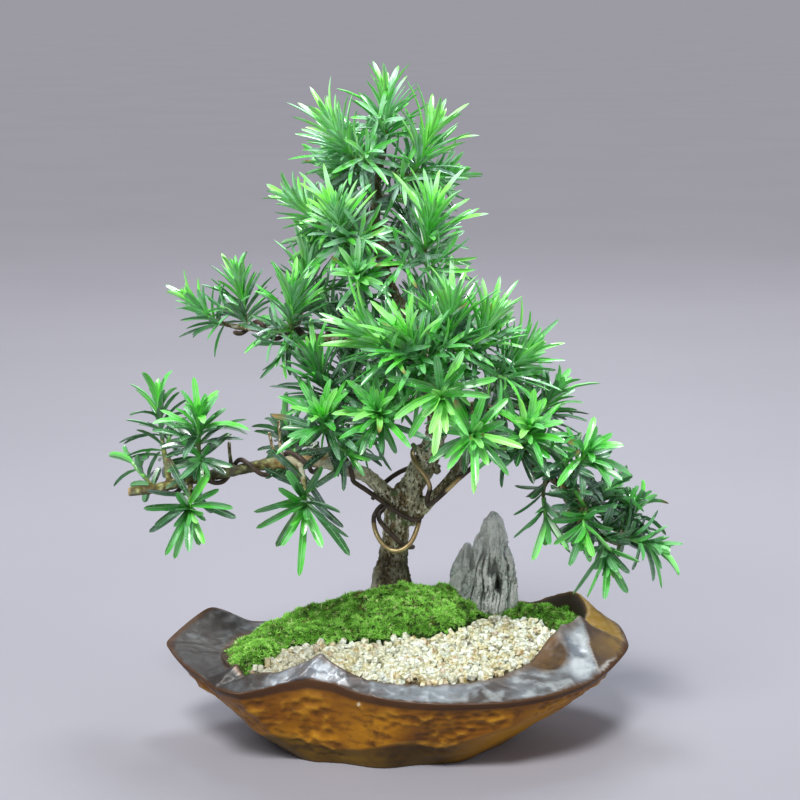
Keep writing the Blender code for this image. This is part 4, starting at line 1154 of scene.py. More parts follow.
wood = {
    "voxel": 0.72, "rounds": 2, "spacing": 3, "thinSpacing": 2, "thinGain": 1.08,
    "ridge": 0.75, "lumps": 0.6,
    "ridges": [(3.4, 22, 1), (1.8, 13, 0.6)],  # bark: pitch across, length along the limb, share of height
    # x, y, z and radius along each limb
    "limbs": {
        "trunk": [
            (2, 46, 45, 17), (2, 46, 56, 15.5), (2, 46, 66, 13.5), (2, 45, 80, 11.4), (3, 44, 91, 8.8),
            (4, 44, 103, 7.8), (6, 42, 120, 7.4), (14, 40, 137, 7), (23, 38, 154, 6.4), (28, 36, 170, 5.6),
            (26, 34, 187, 5.2), (21, 33, 211, 4.7), (11, 35, 233, 4.1), (1, 38, 252, 3.6), (-5, 40, 275, 3.1),
            (-7, 42, 297, 2.7), (-4, 42, 319, 2.1), (-1, 39, 333, 1.5),
        ],
        "left": [
            (6, 42, 122, 4.6), (-4, 38, 136, 4.3), (-13, 34, 144, 4.1), (-24, 30, 149, 3.9),
            (-38, 28, 153, 3.7), (-52, 26, 153, 3.5), (-68, 25, 152, 3.3), (-84, 25, 149, 3.1),
            (-99, 26, 146, 3), (-115, 26, 142, 2.9), (-131, 26, 138, 2.8), (-147, 25, 136, 2.6),
        ],
        "right": [
            (9, 42, 114, 4), (20, 36, 124, 3.7), (30, 30, 136, 3.5), (38, 26, 146, 3.3), (44, 22, 156, 3.2),
            (49, 18, 164, 3), (57, 15, 168, 2.9), (67, 13, 165, 2.8), (80, 12, 156, 2.6), (93, 12, 146, 2.4),
            (103, 12, 138, 2.3), (114, 14, 124, 2.1), (123, 16, 112, 1.8), (132, 18, 107, 1.5),
        ],
        "upper_left": [
            (14, 34, 226, 3), (-4, 30, 224, 2.6), (-20, 28, 224, 2.5), (-38, 28, 224, 2.3),
            (-52, 28, 226, 2.1), (-66, 30, 228, 1.9), (-77, 31, 229, 1.7), (-87, 32, 230, 1.5),
            (-96, 33, 233, 1.2),
        ],
        "front": [
            (21, 34, 208, 3.2), (22, 18, 213, 2.8), (28, 6, 216, 2.5), (40, 4, 217, 2.2), (52, 7, 214, 1.8),
        ],
        "inner_left": [(25, 35, 190, 3), (10, 27, 191, 2.5), (-6, 21, 190, 2.2), (-20, 18, 189, 1.8)],
        "upper_right": [
            (27, 36, 178, 3.2), (42, 32, 184, 2.7), (58, 31, 183, 2.3), (72, 32, 176, 1.9),
            (80, 32, 170, 1.5),
        ],
        "back": [(22, 34, 205, 3.2), (14, 52, 209, 2.7), (4, 64, 210, 2.3), (-12, 71, 210, 1.9)],
        "back_low": [(27, 37, 172, 3), (34, 54, 174, 2.6), (44, 66, 174, 2.1), (52, 71, 173, 1.7)],
    },
    # pruned stubs, a knob at the fork and the flare of three roots
    "stubs": [
        [(-88.5, 26, 152, 1.4), (-89.2, 26, 159, 1.1), (-89.5, 26, 165, 1.2)],
        [(-59.5, 25, 153, 1.6), (-60.5, 23, 165, 1.2), (-61, 22, 178, 1.1)],
        [(-61, 25, 154, 1.5), (-65, 24, 163, 1.1), (-66.5, 24, 171, 1)],
        [(22, 34, 154, 3.2), (16.5, 31, 159.5, 2), (13.8, 30, 163, 1.3)],
        [(20, 38, 150, 4), (27, 36, 147, 2.6), (29.5, 35.5, 144.5, 1.8)],
        [(11, 41, 117, 6.4), (18, 38, 124.5, 4.2), (22, 36, 130, 2.2)],
        [(-2, 42, 66, 9), (-12, 37, 61, 4), (-20, 33, 57, 2.4)],
        [(5, 42, 66, 9), (14, 36, 61, 4), (21, 32, 56.5, 2.2)],
        [(2, 40, 66, 8), (1, 31, 60, 3.4), (-1, 25, 56.5, 2)],
    ],
    # colours of the bark, its pale scales, cracks and green tinge, and of the fissures between its ridges
    "brown": (0.24, 0.185, 0.09), "pale": (0.74, 0.73, 0.50), "scale": (0.90, 0.92, 0.74),
    "crack": (0.075, 0.055, 0.026), "tinge": (0.16, 0.23, 0.10), "fissure": (0.035, 0.025, 0.013),
    # colours of the shaded right limb, of the trunk's foot, of the left bough and of its mossy end
    "shaded": (0.085, 0.085, 0.040), "footDark": (0.018, 0.014, 0.008), "footBrown": (0.085, 0.067, 0.034),
    "boughBrown": (0.36, 0.22, 0.07), "boughPale": (0.76, 0.77, 0.60), "boughFissure": (0.07, 0.045, 0.02),
    "mossyDark": (0.040, 0.032, 0.010), "mossyGreen": (0.17, 0.21, 0.050), "mossyPale": (0.38, 0.39, 0.21),
    "sawn": (0.50, 0.36, 0.18), "high": (0.060, 0.055, 0.028), "young": (0.13, 0.22, 0.05),
}

# Leafy shoots: the limb that bears each, the middle of its whorl, the way it points, and a measure of
# how many leaves to add to those of its solid
shoots = {
    "apex_top": ("trunk", (-1, 38, 346), (0, -0.1, 1), 7),
    "apex_left": ("trunk", (-23, 29, 331), (-0.55, -0.2, 0.8), 8),
    "apex_right": ("trunk", (19, 31, 326), (0.35, -0.25, 0.9), 8),
    "crown_left": ("trunk", (-44, 45, 292), (-0.7, -0.1, 0.6), 8),
    "crown_front_left": ("trunk", (-26, 10, 289), (-0.2, -0.55, 0.8), 8),
    "crown_front_right": ("trunk", (22, 5, 284), (0.15, -0.45, 0.9), 9),
    "crown_right": ("trunk", (21, 50, 307), (0.8, 0.15, 0.4), 8),
    "crown_inner_left": ("trunk", (-24, 58, 314), (-0.75, 0.4, 0.4), 7),
    "waist_left": ("trunk", (-34, 62, 273), (-0.8, 0.35, 0.25), 7),
    "waist_front": ("trunk", (-16, 8, 261), (-0.05, -0.85, 0.4), 6),
    "pad_tip": ("upper_left", (-103, 34, 238), (-0.75, 0, 0.65), 6),
    "pad_left": ("upper_left", (-82, 35, 245), (-0.2, 0, 1), 6),
    "pad_front": ("upper_left", (-53, 15, 241), (0.05, -0.3, 0.95), 7),
    "pad_back": ("upper_left", (-46, 46, 255), (0.1, 0.15, 1), 7),
    "fan_outer": ("front", (0, -12, 226), (-0.75, -0.3, 0.55), 9),
    "fan_inner": ("front", (16, -20, 225), (-0.35, -0.6, 0.7), 9),
    "heart_up": ("front", (34, -8, 233), (0.05, -0.3, 1), 9),
    "heart_right": ("front", (51, -2, 227), (0.35, -0.25, 0.9), 8),
    "shoulder_right": ("front", (66, 5, 211), (0.65, -0.3, 0.6), 8),
    "heart_front": ("front", (29, -32, 203), (0.05, -0.95, -0.05), 5),
    "skirt_front": ("right", (46, -27, 180), (0.1, -0.9, 0.15), 5),
    "breast_left": ("inner_left", (-4, -12, 187), (-0.1, -0.8, 0.45), 7),
    "collar_left": ("inner_left", (-36, 8, 203), (-0.3, -0.3, 0.85), 8),
    "collar_back": ("inner_left", (-20, 40, 199), (-0.1, 0.3, 0.95), 8),
    "bough_up": ("left", (-33, -9, 181), (-0.15, -0.7, 0.6), 7),
    "bough_under": ("left", (-45, -14, 140), (0.05, -0.85, -0.2), 4),
    "bough_back": ("left", (-56, 48, 160), (-0.2, 0.5, 0.7), 7),
    "hand_up": ("left", (-105, 9, 174), (0.05, -0.4, 0.9), 7),
    "hand_left": ("left", (-130, 42, 176), (-0.1, 0.15, 1), 5),
    "hand_under": ("left", (-110, 1, 134), (0.05, -0.85, -0.15), 4),
    "hand_tip": ("left", (-143, 40, 146), (-0.6, 0.4, 0.6), 2),
    "cascade_crown": ("right", (76, -8, 175), (0.1, -0.6, 0.6), 7),
    "cascade_back": ("upper_right", (89, 32, 184), (0.5, 0, 0.85), 7),
    "cascade_fan": ("right", (107, 1, 160), (0.3, -0.6, 0.65), 5),
    "cascade_side": ("right", (121, 26, 134), (0.7, 0.1, 0.55), 7),
    "cascade_under": ("right", (109, -6, 127), (-0.1, -0.7, -0.4), 5),
    "cascade_low": ("right", (121, 0, 110), (0.1, -0.6, -0.55), 6),
    "cascade_tip": ("right", (143, 12, 110), (0.8, -0.3, -0.2), 7),
    "cascade_end": ("right", (140, 33, 120), (0.4, 0.4, 0.75), 6),
    "cascade_sprig": ("right", (88, 8, 130), (0.1, -0.15, -0.95), 2),
    "rear_crown_left": ("trunk", (-22, 76, 297), (-0.25, 0.75, 0.6), 9),
    "rear_crown_right": ("trunk", (17, 79, 284), (0.35, 0.75, 0.5), 9),
    "rear_heart": ("back", (22, 78, 232), (0.3, 0.6, 0.75), 9),
    "rear_left": ("back", (-32, 80, 222), (-0.5, 0.5, 0.7), 9),
    "rear_low": ("back", (2, 88, 194), (0, 0.9, 0.2), 8),
    "rear_right": ("back_low", (64, 76, 182), (0.5, 0.5, 0.7), 9),
}
twig = {"radius": 1.25, "end": 2.5, "gap": 0.3, "steps": 8}
shoot = {
    "length": 13, "radius": 1.5,
    # share of the length and of the radius, up the stem and over the bud
    "stations": [(-0.02, 0.9), (0.2, 0.95), (0.6, 0.85), (0.92, 0.72), (1.02, 0.62), (1.12, 0.3),
                 (1.17, 0.08)],
}


def unit(way):
    return Vector(way).normalized()


def shootFoot(place, way):
    return Vector(place) - unit(way) * shoot["length"] * 0.5


def twigRows(limb, place, way):
    # from the nearest point of the limb to the foot of the shoot, ending along the shoot's own line
    rows = smoothPath(wood["limbs"][limb], wood["spacing"])
    end = shootFoot(place, way) - unit(way) * twig["gap"]
    foot = end - unit(way) * twig["end"]
    reach = np.linalg.norm(rows[:, :3] - np.array(foot - unit(way) * 6), axis=1)
    start = rows[int(reach.argmin())]
    origin = Vector(start[:3])
    span = (foot - origin).length
    controls = [origin, origin.lerp(foot, 0.35), foot - unit(way) * span * 0.35, foot]
    made = []
    for step in range(twig["steps"] + 1):
        share = step / twig["steps"]
        rest = 1 - share
        weights = (rest**3, 3 * share * rest**2, 3 * share * share * rest, share**3)
        point = sum((control * weight for control, weight in zip(controls, weights)), Vector())
        made.append((*point, mixed(min(start[3] * 0.75, 1.9), twig["radius"], min(1, share * 1.4))))
    made.append((*end, twig["radius"]))
    return made


def makeWood():
    # each guide is a row of a rod, the way it runs there and how young the wood is
    rods, guides = [], []
    for name, rows in wood["limbs"].items():
        path = smoothPath(rows, wood["spacing"])
        path[:, 3] *= [1 + 0.16 * noise.noise(Vector(row[:3]) / 8) for row in path]
        rods.append(roundRod(name, path, 4))
        last = len(path) - 1
        guides.extend((row, path[min(number + 1, last)] - path[max(number - 1, 0)], 0.0)
                      for number, row in enumerate(path))
    for rows in wood["stubs"]:
        path = smoothPath(rows, wood["thinSpacing"])
        rods.append(roundRod("stub", path))
        guides.extend((row, np.array((0.2, 0, 1)), 0.0) for row in path)
    for limb, place, way, _ in shoots.values():
        rows = [(*row[:3], row[3] * wood["thinGain"]) for row in twigRows(limb, place, way)]
        path = smoothPath(rows, wood["thinSpacing"])
        rods.append(roundRod("twig", path, 2))
        guides.extend((row, path[-1] - path[0], number / len(path)) for number, row in enumerate(path))
    tree = joinAll(rods, "barkedWood")
    fuse(tree, wood["voxel"], wood["rounds"])
    finder = pointFinder([Vector(row[:3]) for row, _, _ in guides])
    green = []

    def bark(point, normal, index):
        near = [guides[number] for _, number, _ in finder.find_n(point, 10)]
        row, along, young = min(near, key=lambda guide: math.dist(point, guide[0][:3]) - guide[0][3])
        green.append(young)
        along = Vector(along[:3]).normalized()
        run = point.dot(along)
        bent = point + noise.noise_vector(point / 5) * 1.6
        flat = bent - along * bent.dot(along)
        ridges = 0
        for pitch, stretch, part in wood["ridges"]:
            ridges += (1 - abs(noise.noise(flat / pitch + along * run / stretch)) * 2.6) * part
        size = min(1, (row[3] / 7) ** 0.9)
        lumps = noise.noise(point / 7) * 1.3 * size
        flakes = bumps(point, (2.6, 0.45), (1.2, 0.35)) * size
        return -(ridges - 0.75) * wood["ridge"] * size * 0.8 + lumps * wood["lumps"] + flakes

    carve(tree, bark, "relief")
    floatAttribute(tree, "young", green)
    smoothShading(tree)
    return tree


def barkFinish():
    finish = Finish("pineBark", Roughness=0.9, Specular_IOR_Level=0.2)
    relief, young = finish.attribute("relief"), finish.attribute("young")
    x, _, z = finish.apart(finish.place)
    bark = finish.patches(wood["brown"], wood["pale"], 150, 0.42, 0.58, 6, finish.stretched(1, 1, 0.22))
    bark = finish.patches(bark, wood["scale"], 620, 0.55, 0.62, 5, finish.stretched(1, 1, 0.6))
    bark = finish.patches(bark, wood["crack"], 760, 0.53, 0.61, 5, finish.stretched(1, 1, 0.55))
    bark = finish.patches(bark, wood["tinge"], 120, 0.58, 0.66, 4)
    bark = finish.fade(bark, wood["fissure"], relief, 0.0, -1.0, 0.75)
    rightward = finish.times(finish.spread(x, 22 * mm, 34 * mm), finish.spread(z, 172 * mm, 160 * mm))
    bark = finish.blend(finish.times(rightward, 0.6), bark, wood["shaded"])
    foot = finish.patches(wood["footDark"], wood["footBrown"], 420, 0.50, 0.64, 5)
    bark = finish.fade(bark, foot, z, 106 * mm, 92 * mm, 0.88)
    below = finish.spread(z, 161 * mm, 157 * mm)  # 1 at the height of the left limb, 0 at the upper ones
    along = finish.stretched(0.4, 1, 1)
    bough = finish.patches(wood["boughBrown"], wood["boughPale"], 75, 0.42, 0.56, 5, along)
    bough = finish.fade(bough, wood["boughFissure"], relief, -0.1, -0.8, 0.75)
    bark = finish.blend(finish.times(finish.spread(x, -4 * mm, -14 * mm, 0, 0.85), below), bark, bough)
    mossy = finish.patches(wood["mossyDark"], wood["mossyGreen"], 260, 0.45, 0.60, 5)
    mossy = finish.patches(mossy, wood["mossyPale"], 260, 0.60, 0.68, 4)
    bark = finish.blend(finish.times(finish.spread(x, -48 * mm, -70 * mm, 0, 0.85), below), bark, mossy)
    sawn = finish.spread(x, -145 * mm, -146.4 * mm)
    bark = finish.blend(finish.times(sawn, 0.8), bark, wood["sawn"])
    bark = finish.fade(bark, wood["high"], z, 195 * mm, 240 * mm, 0.7)
    finish.colour(finish.fade(bark, wood["young"], young, 0.2, 0.95, 0.85))
    finish.skin(420, 0.6, 0.9, 0.9, finish.stretched(1, 1, 0.6))
    return finish.material


tree = handOver(makeWood(), "barkedWood", barkFinish(), "bark", "trunk_and_branches")
print("wood made:", len(tree.data.polygons), "faces")


# Training wires: out along the limbs each follows the middle line of its solid

wire = {
    "radius": 1.4, "spacing": 1.4,
    # round the trunk: a low band, a loose loop and a high band, up to the left limb
    "leftStart": [
        (5, 54.2, 97.6), (12, 50, 98), (14.4, 43, 99.2), (12, 36.6, 101), (7, 34, 104.2), (1.8, 33.8, 109.4),
        (-2.6, 35.4, 113.8), (-5, 40, 116.6), (-4.6, 46, 118.8), (-0.2, 51.4, 120.4), (7, 53.2, 120.6),
        (14.4, 50.2, 119.8), (18.2, 44, 118.8), (18, 37.4, 116.6), (16.6, 32.8, 112.2), (14, 30, 106.6),
        (9.8, 28.6, 102.4), (5, 28.2, 100.8), (0.4, 29, 101.8), (-3.8, 30.6, 105.4), (-6.8, 33.2, 110.4),
        (-8, 38, 114.8), (-7.6, 44.4, 118), (-3.4, 51.8, 121.8), (4.4, 56.2, 123.2), (13, 54, 122.8),
        (19.2, 47, 121.2), (19.6, 39.2, 118.8), (15.6, 34, 117.6), (10, 31.8, 120),
    ],
    "leftJoin": 29,
    # down the front of the trunk and round under the right limb
    "rightStart": [
        (21.3, 46.9, 158.5), (17.3, 43.5, 158.1), (14.6, 39.3, 157.1), (14.2, 34.7, 154.9), (16, 31.1, 151.6),
        (19.2, 29.4, 147.4), (22.4, 29.4, 142.4), (24, 30.2, 137), (22.6, 29.8, 131.6), (22.8, 27.4, 128),
        (27, 26, 130.8), (31.4, 24.6, 135.2), (35.4, 22.8, 139.6), (39, 21, 143.6),
    ],
    "rightJoin": 29,
    # from the left limb over behind the trunk
    "arc": [(-9, 44, 127), (-5.6, 46, 132.6), (-1, 48, 136.8), (4.6, 50, 140.6), (11, 51, 143.6),
            (18, 50.4, 145.4), (25, 47.6, 146.2), (29.6, 42, 147)],
    # the free end that hangs under the right limb
    "tail": [(96.1, 7, 152.7), (102, 5, 146), (107.4, 4.5, 139), (108.2, 3.5, 131), (106.8, 2.6, 124),
             (104.6, 2, 118.1)],
    # places where the dark coat is worn off and a golden highlight is painted: x, y, z and reach
    "wornAndGlint": [(9, 28, 101.5, 3.4), (4, 28, 101, 3.4), (-1, 29.4, 102.5, 3.4), (-4.6, 31, 106.5, 3.4),
             (-7.2, 34.5, 112, 3), (14, 30, 106.6, 3.4), (16.6, 32.8, 112.2, 3.6),
             (18, 30, 148, 10), (107, 4, 131, 17), (37, 22, 141, 5)],
    "coat": (0.105, 0.072, 0.055), "coatDark": (0.055, 0.038, 0.028),
    "bareAndGlint": (0.56, 0.44, 0.22), "bareAndGlintDark": (0.36, 0.25, 0.11),
}


def middleLine(name):
    # the solid's rings, counted off from one end cap, and the middle of each
    work = bmesh.new()
    work.from_mesh(nodes[name].data)
    bmesh.ops.remove_doubles(work, verts=work.verts, dist=0.00001)
    bmesh.ops.dissolve_limit(work, angle_limit=0.001, verts=work.verts, edges=work.edges, delimit=set())
    cap = max(work.faces, key=lambda face: len(face.verts))
    ring, seen, line = list(cap.verts), set(cap.verts), []
    while ring:
        line.append(sum((vertex.co for vertex in ring), Vector()) / len(ring) / mm)
        following = {edge.other_vert(vertex) for vertex in ring for edge in vertex.link_edges} - seen
        seen |= following
        ring = list(following)
    work.free()
    return line


def wireRod(name, points):
    rows = smoothPath([(*point, wire["radius"]) for point in points], wire["spacing"])
    rows[0, 3] = rows[-1, 3] = wire["radius"] * 0.72
    return roundRod(name, rows, 3)


def makeWire(name, lines):
    made = joinAll([wireRod(name, line) for line in lines], name)
    wornAndGlint = []
    for vertex in made.data.vertices:
        point = vertex.co / mm
        reaches = [1.5 - math.dist(point, spot[:3]) / spot[3] for spot in wire["wornAndGlint"]]
        wornAndGlint.append(min(1, max(0, *reaches) * 1.6) + noise.noise(point / 6) * 0.35)
    floatAttribute(made, "wornAndGlint", wornAndGlint)
    smoothShading(made, 45)
    return made


def wireFinish():
    finish = Finish("bronzeWire")
    coat = finish.patches(wire["coat"], wire["coatDark"], 160, 0.4, 0.65)
    # the bare colour is worn metal and a painted golden highlight
    bareAndGlint = finish.patches(wire["bareAndGlint"], wire["bareAndGlintDark"], 110, 0.4, 0.7)
    wornAndGlint = finish.spread(finish.attribute("wornAndGlint"), 0.15, 0.7)
    finish.colour(finish.blend(wornAndGlint, coat, bareAndGlint))
    finish.metal(finish.spread(wornAndGlint, 0, 1, 0.25, 0.75))
    finish.rough(finish.spread(wornAndGlint, 0, 1, 0.55, 0.36))
    finish.skin(400, 0.4, 0.35, 0.2)
    return finish.material


bronze = wireFinish()
for name, start, join, extras in (
    ("wire_left", wire["leftStart"], wire["leftJoin"], [wire["arc"]]),
    ("wire_right", wire["rightStart"], wire["rightJoin"], [wire["tail"]]),
    ("wire_upper", [], 0, []),
):
    coils = makeWire(name, [start + middleLine(name)[join:], *extras])
    handOver(coils, name + "_coils", bronze, "wire", name)
print("wires made")


# Leaves: one blade is modelled, and each leaf is a copy of it, bent into place

leaf = {
    # along the blade: share of its length, share of its width, how far the margins lift
    "outline": [(0, 0.28, 0.05), (0.12, 0.52, 0.13), (0.32, 0.86, 0.21), (0.58, 1.0, 0.21), (0.8, 0.95, 0.17),
                (0.93, 0.7, 0.1)],
    "station": 0.62,  # the share of its length at which the line of a leaf has its middle point
    # the pairs are for shoots low down and high up
    "width": (4.7, 3.5), "narrow": (0.98, 0.74),  # added leaves in mm, and the solids' own as a share
    "stretch": (1.0, 1.12), "point": (0.1, 0.45),  # share of the solids' length, and how pointed they are
    "fill": (2.6, 4.6),  # how many leaves are added for each one in the table of shoots
    "widest": (96, 55),  # how far the lowest of these open, in degrees
    "lift": (7, 44),  # how far the solids' own close up, in degrees
    "sag": (0.16, -0.09), "hang": (0.05, -0.4),  # how far the tips of their own and of the added leaves droop
    "longest": 1.18,  # no leaf of the solids is longer than this share of their mean
    "overTop": 7,  # how far a tip may stand above the top of the solids
    "onTwig": 10, "onTrunk": 17, "onBare": 4,  # old leaves down a twig, one on the trunk and a bare one
    "dryShare": 0.015,
    # side whorls: leaves, size, turn from leaf to leaf, how many on most twigs and how many on the others
    "sideLeaves": 10, "sideScale": 0.8, "golden": 137.5, "sideWhorls": 2,
    "otherWhorls": {
        0: ("pad_tip", "hand_under", "hand_tip", "bough_under", "cascade_sprig", "cascade_low"),
        1: ("apex_top", "pad_left", "hand_up", "hand_left", "cascade_tip", "cascade_end", "cascade_under",
            "heart_front", "skirt_front"),
        3: ("apex_left", "apex_right", "crown_left", "crown_right", "crown_front_left", "crown_front_right",
            "crown_inner_left", "waist_front", "fan_outer", "fan_inner", "heart_up", "heart_right",
            "collar_left", "breast_left", "shoulder_right", "cascade_crown"),
    },
    # colours from young to old, which also carry painted light and shade, of the painted sheen on some, of
    # the rib with its painted highlight, of the painted shade in the groove, of base, of dew with its painted
    # glints, of underside and of dry tip
    "ages": [(0.0, (0.38, 0.99, 0.19)), (0.2, (0.155, 0.81, 0.065)), (0.42, (0.052, 0.47, 0.03)),
             (0.66, (0.022, 0.16, 0.026)), (1.0, (0.007, 0.038, 0.013))],
    "paintedSheen": (0.60, 0.84, 0.80), "ribHighlight": (0.42, 0.92, 0.36), "grooveShade": (0.008, 0.07, 0.016),
    "base": (0.26, 0.62, 0.10), "dewGlint": (0.60, 0.86, 0.66), "underside": (0.11, 0.36, 0.11),
    "dryTip": (0.30, 0.19, 0.06),
}


def modelBlade():
    # x runs across, y along and z up, in shares of the width and the length
    rings = []
    for along, wide, lift in leaf["outline"]:
        half = 0.5 * wide
        rings.append([
            (half, along, lift), (half * 0.45, along, lift * 0.42 + 0.01), (0, along, 0.0),
            (-half * 0.45, along, lift * 0.42 + 0.01), (-half, along, lift), (0, along, -0.09 - 0.05 * wide),
        ])
    rings.append([(x * 0.4, 0.995, z * 0.6) for x, _, z in rings[-1]])
    blade = extrudeRings("blade", [[Vector(point) / mm for point in ring] for ring in rings], tip=True)
    under = [1.0 if vertex.co.z < -0.045 else 0.0 for vertex in blade.data.vertices]
    floatAttribute(blade, "under", under)
    layer = blade.data.uv_layers.active or blade.data.uv_layers.new(name="UVMap")
    for loop in blade.data.loops:
        point = blade.data.vertices[loop.vertex_index].co
        layer.data[loop.index].uv = (point.x + 0.5, point.y)
    smoothShading(blade, 50)
    return blade


blade = modelBlade()
bladePoints = np.array([vertex.co for vertex in blade.data.vertices])
woodTree = nodeTree("trunk_and_branches")
boxLow, boxHigh = Vector(cadBox[0]) / mm, Vector(cadBox[1]) / mm
print("leaf modelled:", len(blade.data.polygons), "faces")


def reachOf(spec):
    return spec["line"][2] - spec["line"][0]


def bentBlade(spec):
    # a copy of the blade along a curve from its base through its station to its tip
    base, station, tip = (Vector(point) for point in spec["line"])
    part = leaf["station"]
    control = (station - base * (1 - part) ** 2 - tip * part * part) / (2 * part * (1 - part))
    base, control, tip, across = (np.array(point) for point in (base, control, tip, spec["across"]))
    along = bladePoints[:, 1:2]
    line = base * (1 - along) ** 2 + 2 * control * along * (1 - along) + tip * along * along
    tangent = 2 * (1 - along) * (control - base) + 2 * along * (tip - control)
    tangent /= np.linalg.norm(tangent, axis=1, keepdims=True)
    wide = across - tangent * (tangent @ across)[:, None]
    wide /= np.linalg.norm(wide, axis=1, keepdims=True)
    up = np.cross(wide, tangent)
    if up[0] @ np.array(spec["up"]) < 0:
        up, wide = -up, -wide
    turn = spec["twist"] * along
    taper = 1 - 0.7 * spec["point"] * np.clip((along - 0.4) / 0.6, 0, 1) ** 1.6
    x, z = (part * spec["width"] * taper for part in (bladePoints[:, :1], bladePoints[:, 2:]))
    points = line + (wide * np.cos(turn) + up * np.sin(turn)) * x
    points += (up * np.cos(turn) - wide * np.sin(turn)) * z
    copy = blade.copy()
    copy.data = blade.data.copy()
    copy.data.vertices.foreach_set("co", (points * mm).astype(np.float32).ravel())
    bpy.context.collection.objects.link(copy)
    for key in ("ageAndLight", "tone", "dry"):
        floatAttribute(copy, key, [spec[key]] * len(points))
    return copy


def readBlades(name, foot, axis):
    # the blades of a solid: each tip, the three points of the ring behind it and the base on the stem
    work = bmesh.new()
    work.from_mesh(nodes[name].data)
    bmesh.ops.remove_doubles(work, verts=work.verts, dist=0.00001)
    found = []
    for tip in work.verts:
        if len(tip.link_edges) != 3 or min(edge.calc_length() for edge in tip.link_edges) < 4 * mm:
            continue
        ring = [edge.other_vert(tip) for edge in tip.link_edges]
        orders = [[ring[index] for index in order] for order in ((0, 1, 2), (0, 2, 1), (1, 2, 0))]
        one, other, keel = max(orders, key=lambda order: (order[0].co - order[1].co).length)
        middle = (one.co + other.co) / 2 / mm
        rear = []
        for vertex in (one, other):
            away = (vertex.co - tip.co).normalized()
            behind = [edge.other_vert(vertex) for edge in vertex.link_edges]
            behind = [near for near in behind if near is not tip and near not in ring]
            if behind:
                straight = max(behind, key=lambda near: (near.co - vertex.co).normalized().dot(away))
                rear.append(straight.co / mm)
        start = sum(rear, Vector()) / len(rear) if rear else foot + axis * shoot["length"] * 0.6
        known = (start - middle).length
        back = (start - middle).normalized()
        # where the line of the blade passes nearest to the stem
        gap = foot - middle
        slant = 1 - back.dot(axis) ** 2
        run = (gap.dot(back) - gap.dot(axis) * axis.dot(back)) / slant if slant > 0.02 else known
        base = middle + back * max(known, min(run, known + 3))
        found.append({
            "line": (base, middle, tip.co / mm), "across": (other.co - one.co).normalized(),
            "up": (middle - keel.co / mm).normalized(), "width": (one.co - other.co).length / mm,
        })
    work.free()
    return found


def inBox(point, margin=1.5):
    return all(low - margin <= value <= high + margin for low, value, high in zip(boxLow, point, boxHigh))


def freeLeaf(foot, axis, share, opening, turn, length, droop):
    # a leaf that curves away from the shoot, opened by an angle and turned about the shoot
    side = axis.cross(Vector((0, 0, 1)))
    side = side.normalized() if side.length > 0.1 else Vector((1, 0, 0))
    radial = side * math.cos(turn) + side.cross(axis) * math.sin(turn)
    point = foot + axis * shoot["length"] * share
    line, last = [point.copy()], 0.0
    for station in (leaf["station"], 1.0):
        middle = (station + last) / 2
        angle = math.radians(opening + 26 * (middle - 0.35))
        along = axis * math.cos(angle) + radial * math.sin(angle)
        along = (along + Vector((0, 0, -droop * middle))).normalized()
        point = point + along * length * (station - last)
        line.append(point.copy())
        last = station
    across = axis.cross(radial)
    up = (line[2] - line[0]).cross(across).normalized()
    return {"line": tuple(line), "across": across.normalized(), "up": up if up.dot(axis) > 0 else -up}


def blocked(line):
    # true where a leaf would leave the CAD box or cross the wood well away from its base
    base, station, tip = line
    if not (inBox(station) and inBox(tip)):
        return True
    for start, end in ((base.lerp(station, 0.35), station), (station, tip)):
        way = end - start
        if woodTree.ray_cast(start * mm, way.normalized(), way.length * mm)[0] is not None:
            return True
    return False


def growMore(foot, axis, count, length, width, widest, hang, taken, draw, ageAndLight):
    # more leaves in the widest gaps of the whorl: old and spread below, young and upright round the bud
    made = []
    ways = [reachOf(spec).normalized() for spec in taken]
    for number in range(count):
        rank = (number + 0.5) / count
        best, bestGap = None, -1
        for _ in range(12):
            opening = mixed(widest, 8, rank**0.7) + draw.uniform(-13, 13)
            turn = draw.uniform(0, math.tau)
            size = length * mixed(1.03, 0.6, rank**2) * draw.uniform(0.78, 1.12)
            droop = hang + draw.uniform(0, 0.45)
            option = freeLeaf(foot, axis, mixed(-0.35, 1.0, rank), opening, turn, size, droop)
            way = reachOf(option).normalized()
            gap = min([way.angle(other) for other in ways], default=3)
            if gap > bestGap and not blocked(option["line"]):
                best, bestGap = option, gap
        if best:
            best["width"] = width * mixed(1.0, 0.72, rank**2) * draw.uniform(0.86, 1.08)
            made.append(best)
            paint(best, mixed(ageAndLight + 0.3, ageAndLight - 0.25, rank), draw)
            ways.append(reachOf(best).normalized())
    return made


def closeUp(spec, axis, angle):
    # turns a leaf about its base towards the line of the shoot, but not nearer to it than 28 degrees
    turn = reachOf(spec).cross(axis)
    opening = reachOf(spec).angle(axis)
    if turn.length < 1 or opening < math.radians(29):
        return
    swing(spec, Matrix.Rotation(min(math.radians(angle), opening - math.radians(28)), 3, turn.normalized()))


def swing(spec, turn):
    base, station, tip = spec["line"]
    spec["line"] = base, base + turn @ (station - base), base + turn @ (tip - base)
    spec["across"], spec["up"] = turn @ spec["across"], turn @ spec["up"]


def resize(spec, size):
    base, station, tip = spec["line"]
    spec["line"] = base, base.lerp(station, size), base.lerp(tip, size)


def loosen(spec, sag, draw):
    # a little disorder: each leaf leans its own way and its tip hangs
    way = Vector([draw.gauss(0, 1) for _ in range(3)]).normalized()
    swing(spec, Matrix.Rotation(math.radians(draw.uniform(0, 11)), 3, way))
    resize(spec, draw.uniform(0.84, 1.06))
    base, station, tip = spec["line"]
    level = (tip - base).to_2d().length
    drop = Vector((0, 0, -level * sag * draw.uniform(0.2, 2.2)))
    spec["line"] = base, station + drop * 0.35, tip + drop


